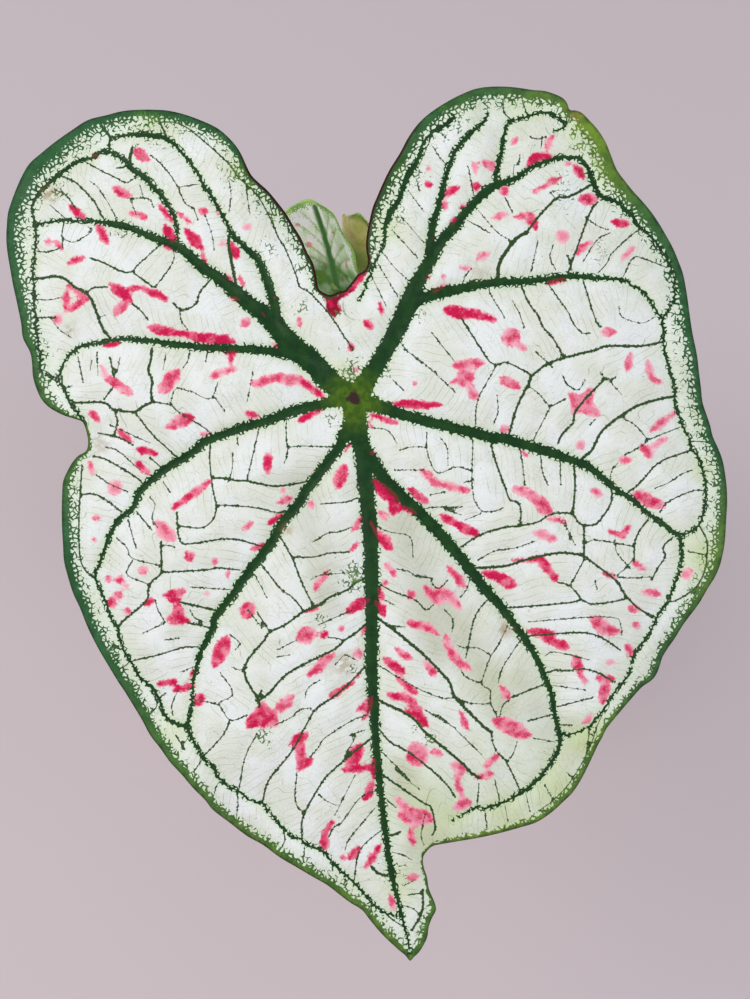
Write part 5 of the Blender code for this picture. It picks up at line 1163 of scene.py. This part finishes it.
# Cells: the finest net of veins, which parts the tissue into small pads, used on the open blades
cells, taken, given = new_group(
    "leaf cells",
    [("Place", "Vector", None), ("Cells Per Metre", "Float", 760.0)],
    [("From Line", "Float")],
)
wander = wire("ShaderNodeTexNoise", {"Vector": taken["Place"], "Scale": 420.0, "Detail": 2.0})
shifted = wire("ShaderNodeVectorMath", {0: wander.outputs["Color"], "Scale": 0.0020}, operation="SCALE")
moved = wire("ShaderNodeVectorMath", {0: taken["Place"], 1: shifted.outputs[0]}, operation="ADD")
net = wire(
    "ShaderNodeTexVoronoi", {"Vector": moved.outputs[0], "Scale": taken["Cells Per Metre"]},
    feature="DISTANCE_TO_EDGE", voronoi_dimensions="2D",
)
cells.links.new(net.outputs["Distance"], given["From Line"])

# Spurs: where one colour of the tissue meets another it runs out along the net as small teeth, on the open blades
spurs, taken, given = new_group(
    "spurred edge",
    [
        ("Place", "Vector", None), ("From Line", "Float", 0.0), ("Distance", "Float", 0.0), ("Reach", "Float", 0.6),
        ("Softness", "Float", 0.08),
    ],
    [("Inside", "Float")],
)
tooth = eased(taken["From Line"], 0.36, 0.0)
tooth = times(tooth, eased(cloudy(taken["Place"], 520.0, 2.0), 0.34, 0.64, 0.35, 1.25))
grainy = unsteady(taken["Place"], 0.9, 2600.0)
tooth = maths("SUBTRACT", plus(tooth, grainy), 0.10)
edge_at = maths("SUBTRACT", taken["Distance"], times(tooth, taken["Reach"]))
spurs.links.new(eased(maths("DIVIDE", edge_at, taken["Softness"]), 1.0, -1.0), given["Inside"])


def within(place, from_line, distance, reach, softness):
    """The share that lies within the spurred edge where this distance passes 0."""
    follows = {"Place": place, "From Line": from_line, "Distance": distance, "Reach": reach, "Softness": softness}
    return wire("ShaderNodeGroup", follows, node_tree=spurs).outputs["Inside"]


def blade_colours(shader, place):
    """The large blade's colours from above: the colour, the share that is green, and the height of its pads."""
    main, side, margin = (marking(shader, name) for name in ("main_vein", "side_vein", "margin"))
    star, yellow, sinus, valley = (marking(shader, name) for name in ("star", "yellow", "sinus", "valley"))
    from_line = placed_group(cells, Place=place, Cells_Per_Metre=760.0)["From Line"]

    # White tissue, greyed with painted shade in the sunken folds, and tinged near what is green
    broad = cloudy(place, 75.0, 3.0, 0.6)
    colour = tinted(eased(broad, 0.36, 0.62), paint(228, 230, 229), paint(218, 220, 208))
    colour = tinted(times(valley, 0.55), colour, paint(176, 176, 148))
    by_vein, by_margin = eased(main, 1.9, 0.0, 0.0, 0.50), eased(margin, 2.0, 0.3, 0.0, 0.42)
    colour = tinted(maths("MAXIMUM", by_vein, by_margin), colour, paint(200, 220, 178))
    colour = tinted(marking(shader, "limed"), colour, paint(190, 205, 136))

    # The net of finest veins, the thin rungs between main veins and the links between those
    patchy = eased(cloudy(place, 210.0, 3.0), 0.42, 0.60)
    greenest = maths("MAXIMUM", eased(main, 4.0, 0.0), eased(margin, 3.5, 0.5))
    lines = times(eased(from_line, 0.10, 0.01), eased(patchy, 0.0, 1.0, 0.03, 0.18))
    colour = tinted(lines, colour, tinted(greenest, paint(150, 154, 128), paint(110, 156, 84)))
    veinlet = placed_group(cells, Place=place, Cells_Per_Metre=230.0)["From Line"]
    links = times(eased(veinlet, 0.030, 0.008), eased(cloudy(place, 200.0, 2.0), 0.44, 0.60, 0.0, 0.22))
    rung_at = plus(times(marking(shader, "ladder"), 0.50), unsteady(place, 4.0, 55.0, 2.0, 0.35))
    rung = maths("ABSOLUTE", maths("SINE", times(rung_at, math.pi)))
    rung = times(eased(rung, 0.15, 0.04), marking(shader, "on_ladder"))
    rung = times(rung, eased(cloudy(place, 150.0, 2.0), 0.38, 0.62, 0.06, 0.50))
    colour = tinted(maths("MAXIMUM", rung, links), colour, paint(88, 108, 66))

    # Pink flecks, deepest in their middles and speckled
    fleck, depth = marking(shader, "fleck"), marking(shader, "fleck_depth")
    fleck = plus(fleck, plus(unsteady(place, 1.9, 430.0, 3.0, 0.6), unsteady(place, 1.6, 170.0, 1.0)))
    depth = plus(depth, eased(cloudy(place, 330.0, 2.0), 0.35, 0.65, -0.25, 0.15))
    pink = tinted(eased(depth, 0.3, 0.65), paint(238, 170, 184), paint(230, 92, 126))
    pink = tinted(eased(depth, 0.6, 0.95), pink, paint(208, 12, 80))
    deeper = tinted(eased(depth, 0.3, 0.8), paint(228, 124, 148), paint(196, 0, 68))
    pink = tinted(eased(fleck, -0.15, -1.1, 0.0, 0.8), pink, deeper)
    speckle = eased(cloudy(place, 2300.0, 2.0), 0.50, 0.68, 0.0, 0.40)
    pink = tinted(times(speckle, eased(depth, 0.95, 0.55, 0.15, 1.0)), pink, paint(240, 176, 188))
    pink = tinted(eased(depth, 1.05, 1.25), pink, paint(136, 4, 40))
    colour = tinted(eased(fleck, 0.60, -0.20, 0.0, 0.55), colour, paint(238, 180, 190))
    colour = tinted(within(place, from_line, fleck, 0.28, 0.42), colour, pink)

    # Side veins
    side = plus(side, eased(cloudy(place, 800.0), 0.35, 0.65, 0.09, 0.20))
    core = eased(marking(shader, "side_vein"), 0.04, -0.16, 0.0, 0.85)
    lined = maths("MAXIMUM", within(place, from_line, side, 0.32, 0.08), core)
    colour = tinted(lined, colour, paint(46, 72, 31))

    # The margin, darker beside the sinus
    uneven = eased(cloudy(place, 260.0, 3.0), 0.36, 0.64)
    margin_green = tinted(yellow, paint(48, 96, 56), paint(120, 150, 44))
    margin_green = tinted(times(uneven, 0.5), margin_green, paint(30, 68, 34))
    margin_green = tinted(times(sinus, 0.7), margin_green, paint(34, 66, 28))
    dotted = within(place, from_line, margin, 1.15, 0.09)
    colour = tinted(dotted, colour, margin_green)

    # Places that stay green
    greened = marking(shader, "greened")
    mottled = plus(greened, unsteady(place, 1.3, 1100.0))
    greening = within(place, from_line, mottled, 0.68, 0.12)
    darker_green = tinted(uneven, paint(92, 128, 44), paint(48, 88, 34))
    colour = tinted(times(greening, 0.9), colour, darker_green)

    # Main veins, and the olive star where they meet
    dark = tinted(uneven, paint(18, 54, 24), paint(28, 66, 26))
    star = plus(star, unsteady(place, 22.0, 420.0, 3.0))
    two_olives = eased(cloudy(place, 500.0, 3.0), 0.38, 0.62)
    olive = tinted(two_olives, paint(56, 88, 16), paint(78, 106, 24))
    vein_green = tinted(eased(star, 44.0, 8.0), dark, olive)
    vein_green = tinted(eased(star, 9.0, 4.0), vein_green, paint(56, 34, 34))
    grown = times(maths("SUBTRACT", greened, 0.75), 0.6)
    veined = within(place, from_line, plus(main, grown), 0.80, 0.10)
    colour = tinted(veined, colour, vein_green)
    on_vein = times(veined, eased(fleck, -0.30, -0.75, 0.0, 0.60))
    colour = tinted(on_vein, colour, paint(150, 22, 48))

    # The dark brown line round the sinus, painted shade where the rim turns down there, and the scars
    # Painted shade: a dark brown line along the rim beside the sinus, where it turns down
    sinus_rim_shade = times(eased(marking(shader, "to_rim"), 0.80, 0.45), eased(sinus, 0.05, 0.45))
    colour = tinted(sinus_rim_shade, colour, paint(58, 20, 20))
    scar = times(marking(shader, "scarred"), eased(cloudy(place, 500.0, 3.0), 0.38, 0.55))
    colour = tinted(scar, colour, paint(150, 116, 66))
    green_share = maths("MAXIMUM", dotted, veined)
    return colour, green_share, eased(from_line, 0.0, 0.35)


upper_side, shader, place = new_finish("large_blade_upper", 0.5, 0.14)
place = marking(shader, "laid_flat", "Vector")
colour, green_share, pads = blade_colours(shader, place)
relief = bumped(pads, 0.00003, bumped(cloudy(place, 3000.0), 0.00002))
give(shader, Base_Color=colour, Normal=relief, Roughness=eased(green_share, 0.0, 1.0, 0.55, 0.42))

under_side, shader, place = new_finish("large_blade_under", 0.6, 0.25)
place = marking(shader, "laid_flat", "Vector")
colour, green_share, pads = blade_colours(shader, place)
colour = tinted(0.62, colour, paint(170, 186, 146))
ribbed = eased(marking(shader, "main_vein"), 0.3, -0.3, 0.0, 0.75)
colour = tinted(ribbed, colour, paint(146, 158, 98))
give(shader, Base_Color=colour, Normal=bumped(pads, 0.00008))

ring = [(math.cos(angle), math.sin(angle)) for angle in np.linspace(0.0, math.tau, 12, endpoint=False)]
features = [line[:, :2] for line in mains + sides]
for line, width, *_ in strokes:
    middle = spline(line, 0.0007)
    features += [middle] + [middle[[0, -1]] + np.array(way) * width / 2 for way in ring]
large_blade = blade_piece(
    "large_blade", outline, np.concatenate(features), (upper_step, lower_step, feature_gap), blade_surface,
    blade_thickness, blade_markings, (upper_side, under_side),
)
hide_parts("leaf_1_blade")
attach(large_blade, "root")

# The young leaf behind the sinus has just opened. It is the same kind of blade, still small and folded up along
# its midrib, with a fresh green margin and white streaks between its veins.
# Its tables are in millimetres from where the petiole joins, and half its outline and veins are mirrored.
young_half = [
    (0, 37.6), (3, 37.3), (7, 36.2), (12, 33.5), (16.5, 28.5), (19.5, 20.5), (20.5, 10), (19.5, -2),
    (16.5, -11.5), (10, -17), (4, -16), (0, -8.5),
]
young_half_veins = [
    [(1, -1), (5, -7), (10, -12)], [(1, 2), (7, 6), (15, 6)], [(1, 6), (7, 12), (14, 16)],
    [(1, 10), (6, 16), (12, 21)], [(1, 16), (5, 22), (9, 27)], [(1, 22), (4, 28), (6, 31)],
]
young_midrib = [(0, -4), (0, 12), (0, 34)]
young_flecks = [
    (-7, 18, 1.2), (-3, 9, 0.9), (6, 24, 1.0), (10, 12, 1.2), (-12, 8, 1.0), (4, 3, 0.8), (-9, 27, 0.8),
]
young_step, fold_slope, tip_curl = 0.0006, 0.60, 0.002
young_tissue, midrib_height, young_seat_thickness = 0.00042, 0.0008, 0.0020
mirrored = [(-x, y) for x, y in young_half[-2:0:-1]]
young_outline = spline(np.array(young_half + mirrored) / 1000, young_step, closed=True)
young_closed = np.vstack([young_outline, young_outline[:1]])
other_veins = [[(-x, y) for x, y in line] for line in young_half_veins]
young_veins = [spline(np.array(line) / 1000, young_step) for line in [young_midrib, *young_half_veins, *other_veins]]


def leaf_frame(axis, yaw):
    """The side, axis and normal of a blade with this axis, turned about it from facing the front."""
    axis = Vector(axis).normalized()
    front = Vector((0.0, -1.0, 0.6))
    normal = (front - axis * front.dot(axis)).normalized()
    normal = normal * math.cos(yaw) - axis.cross(normal) * math.sin(yaw)
    return (np.array(way) for way in (axis.cross(normal), axis, normal))


def young_surface(flat):
    """The young leaf's upper side, in metres."""
    radius = np.linalg.norm(flat, axis=1)
    to_rim, round_rim = nearest(flat, young_closed, 0.03)
    to_vein = np.min([nearest(flat, line, 0.03)[0] for line in young_veins], axis=0)
    lift = fold_slope * (np.sqrt(flat[:, 0] ** 2 + 0.006**2) - 0.006)
    lift += tip_curl * (np.clip(flat[:, 1], 0.0, None) / 0.038) ** 3
    lift -= 0.0006 * np.exp(-((to_vein / 0.0012) ** 2))
    lift += 0.0007 * np.sin(round_rim * math.tau * 11) * np.exp(-to_rim / 0.004)
    lift *= smoothed(0.0045, 0.011, radius)
    side, axis, normal = leaf_frame((-0.20, 0.38, 0.90), math.radians(35.0))
    return np.array(young_seat) + flat[:, :1] * side + flat[:, 1:] * axis + lift[:, None] * normal


def young_thickness(flat):
    """The young leaf's thickness, with its ribs."""
    to_rim, _ = nearest(flat, young_closed, 0.003)
    to_midrib, _ = nearest(flat, young_veins[0], 0.01)
    thick = young_tissue + midrib_height * np.exp(-((to_midrib / 0.0007) ** 2))
    radius = np.linalg.norm(flat, axis=1)
    thick = np.maximum(thick, young_seat_thickness * (1.0 - smoothed(0.003, 0.006, radius)))
    return thick * smoothed(-0.0006, 0.0018, to_rim)


def young_markings(flat):
    """What the young leaf's colours follow, in millimetres."""
    to_rim, _ = nearest(flat, young_closed, 0.03)
    to_midrib, _ = nearest(flat, young_veins[0], 0.03)
    to_vein = np.min([nearest(flat, line, 0.03)[0] for line in young_veins[1:]], axis=0)
    spots = [np.linalg.norm(flat * 1000 - (x, y), axis=1) - size for x, y, size in young_flecks]
    veins = np.minimum(to_midrib * 1000 - 0.9, to_vein * 1000 - 0.3)
    return {
        "main_vein": veins, "midrib": to_midrib * 1000, "margin": to_rim * 1000 - 1.8,
        "fleck": np.min(spots, axis=0), "right": flat[:, 0] * 1000, "height": flat[:, 1] * 1000,
    }


young_finish, shader, place = new_finish("young_blade", 0.42, 0.3)
place = marking(shader, "laid_flat", "Vector")
clouds = cloudy(place, 160.0, 3.0)
from_line = placed_group(cells, Place=place, Cells_Per_Metre=950.0)["From Line"]
midrib, veins = marking(shader, "midrib"), marking(shader, "main_vein")
colour = tinted(eased(clouds, 0.35, 0.65), paint(250, 252, 250), paint(222, 238, 204))
colour = tinted(eased(from_line, 0.10, 0.01, 0.0, 0.25), colour, paint(150, 186, 110))
streaks = cloudy(stretched(place, 3.0, 0.8, 1.0), 190.0, 3.0)
streaked = times(eased(streaks, 0.52, 0.62), eased(veins, 3.0, 0.5, 0.02, 0.45))
colour = tinted(streaked, colour, paint(142, 186, 96))
flecked = within(place, from_line, marking(shader, "fleck"), 0.3, 0.4)
colour = tinted(flecked, colour, paint(238, 140, 150))
veined = times(within(place, from_line, veins, 0.6, 0.35), 0.6)
colour = tinted(veined, colour, paint(110, 158, 72))
leaf_green = tinted(eased(clouds, 0.4, 0.6), paint(138, 184, 70), paint(98, 150, 56))
colour = tinted(within(place, from_line, marking(shader, "margin"), 2.4, 0.8), colour, leaf_green)
# Painted shade: the young leaf's right half, the shaded side of its fold, is painted a darker green; its lower part
# is darker green too
right_half_shade = eased(marking(shader, "right"), 0.5, 5.0, 0.0, 0.45)
darker_green = maths("MAXIMUM", right_half_shade, eased(marking(shader, "height"), 17.0, 7.0))
darker_green = times(darker_green, eased(clouds, 0.35, 0.60, 0.75, 1.0))
colour = tinted(darker_green, colour, paint(66, 116, 30))
# The midrib's own green, widened and darkened as painted shade in the valley of the fold along it
colour = tinted(eased(midrib, 2.4, 0.6), colour, paint(56, 108, 42))
give(shader, Base_Color=colour, Normal=bumped(from_line, 0.00006))
shader.inputs["Subsurface Weight"].default_value = 0.8
shader.inputs["Subsurface Radius"].default_value = (1.0, 1.0, 0.9)
shader.inputs["Subsurface Scale"].default_value = 0.002

young_blade = blade_piece(
    "young_blade", young_outline, np.concatenate(young_veins), (0.0007, 0.0009, 0.0003), young_surface,
    young_thickness, young_markings, (young_finish, young_finish),
)
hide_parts("leaf_2_blade")
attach(young_blade, "root")

# The newest leaf is still rolled round itself, as it comes from its sheath. It is olive and bronze, and its white
# shows only as a pale streak, because a caladium colours as it opens.
rolled_columns, rolled_rows, rolled_length = 96, 90, 0.050
foot_radius, roll_radius, half_width, rolled_wall = 0.0022, 0.0100, 0.0210, 0.0006

rolled_finish, shader, place = new_finish("rolled_blade", 0.42, 0.45)
up_leaf, round_leaf = marking(shader, "up_leaf"), marking(shader, "round_leaf")
clouds = cloudy(place, 190.0, 3.0)
colour = tinted(eased(clouds, 0.35, 0.65), paint(226, 216, 158), paint(206, 200, 126))
off_middle = maths("ABSOLUTE", round_leaf)
slant = times(up_leaf, 15.0)
slant = maths("SUBTRACT", slant, times(off_middle, 9.0))
ribs = eased(maths("ABSOLUTE", maths("SINE", times(slant, 1.6))), 0.20, 0.04)
bronze = eased(cloudy(place, 150.0, 3.0), 0.50, 0.64, 0.0, 0.6)
colour = tinted(bronze, colour, paint(214, 166, 112))
colour = tinted(eased(up_leaf, 0.80, 0.45, 0.0, 0.75), colour, paint(116, 152, 62))
colour = tinted(times(ribs, 0.35), colour, paint(128, 150, 74))
edge = maths("MAXIMUM", eased(off_middle, 0.72, 0.95), eased(up_leaf, 0.88, 0.98))
colour = tinted(edge, colour, paint(140, 166, 74))
give(shader, Base_Color=colour, Normal=bumped(cloudy(place, 900.0), 0.00010))
shader.inputs["Subsurface Weight"].default_value = 0.8
shader.inputs["Subsurface Radius"].default_value = (1.0, 1.0, 0.8)
shader.inputs["Subsurface Scale"].default_value = 0.002

bm = bmesh.new()
bmesh.ops.create_grid(bm, x_segments=rolled_columns, y_segments=rolled_rows, size=1.0)
up_layer, round_layer = (bm.verts.layers.float.new(name) for name in ("up_leaf", "round_leaf"))
side, axis, front = (Vector(way) for way in leaf_frame((0.02, 0.0, 1.0), math.radians(-150.0)))
for vertex in bm.verts:
    u, v = vertex.co.x, (vertex.co.y + 1.0) / 2.0
    vertex[up_layer], vertex[round_layer] = v, u
    radius = foot_radius + (roll_radius - foot_radius) * math.sin(min(1.0, v / 0.55) * math.pi / 2)
    width = half_width * math.sin(math.pi * min(0.985, 0.13 + 0.87 * v**0.85)) ** 0.52
    angle = u * min(width / radius, 2.75)
    groove = 0.00016 * abs(math.sin((v * 15.0 - abs(u) * 9.0) * 1.6))
    reach = radius * (1.0 + 0.16 * u * min(1.0, (1.0 - v) / 0.25)) + groove
    height = rolled_length * (v - 0.13 * v * u * u)
    vertex.co = rolled_seat + axis * height + (side * math.sin(angle) - front * math.cos(angle)) * reach
rolled_mesh = bpy.data.meshes.new("rolled_blade")
bm.to_mesh(rolled_mesh)
bm.free()
rolled_mesh.shade_smooth()
rolled_blade = new_piece("rolled_blade", rolled_mesh, rolled_finish)
skin_deep = rolled_blade.modifiers.new("thickness", "SOLIDIFY")
skin_deep.thickness = rolled_wall
skin_deep.offset = -1.0
rolled_blade = plain_copy(rolled_blade)
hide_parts("leaf_3_blade")
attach(rolled_blade, "root")

# The plant stands on a plain pale floor, in soft light from above with a broad lamp to the left, and the camera looks
# square at the large blade, as a person who bends over the plant does.
floor_finish, shader, place = new_finish("pale_floor", 0.7, 0.2)
shader.inputs["Base Color"].default_value = paint(200, 187, 191)
floor_mesh = bpy.data.meshes.new("floor")
floor_mesh.from_pydata([(-9, -9, 0), (9, -9, 0), (9, 9, 0), (-9, 9, 0)], [], [(0, 1, 2, 3)])
new_piece("floor", floor_mesh, floor_finish)

scene = bpy.context.scene
scene.view_settings.view_transform = "Standard"
world = bpy.data.worlds.new("studio")
scene.world = world
world.use_nodes = True
world.node_tree.nodes["Background"].inputs["Color"].default_value = (0.93, 0.96, 1.0, 1.0)
world.node_tree.nodes["Background"].inputs["Strength"].default_value = 0.65


def new_lamp(name, place, aim, across, watts, colour):
    """A square lamp that shines from its place at its aim."""
    lamp = bpy.data.lights.new(name, "AREA")
    lamp.size, lamp.energy, lamp.color = across, watts, colour
    hung = bpy.data.objects.new(name, lamp)
    hung.location = place
    hung.rotation_euler = (Vector(aim) - Vector(place)).to_track_quat("-Z", "Y").to_euler()
    scene.collection.objects.link(hung)


new_lamp("window", (-1.1, -0.25, 1.4), (0.0, -0.1, 0.3), 1.1, 12.5, (1.0, 0.98, 0.95))
new_lamp("fill", (1.3, -1.0, 1.2), (0.0, -0.1, 0.3), 1.4, 10.5, (0.93, 0.96, 1.0))

lens = bpy.data.cameras.new("camera")
lens.sensor_fit = "VERTICAL"
lens.sensor_height = 24.0
lens.lens = lens.sensor_height * eye_distance / (2 * picture_middle[1] * point_size)
lens.clip_start = 0.01
camera = bpy.data.objects.new("camera", lens)
facing = Matrix((across, upward, -ahead)).transposed().to_4x4()
camera.matrix_world = Matrix.Translation(eye) @ facing
scene.collection.objects.link(camera)
scene.camera = camera
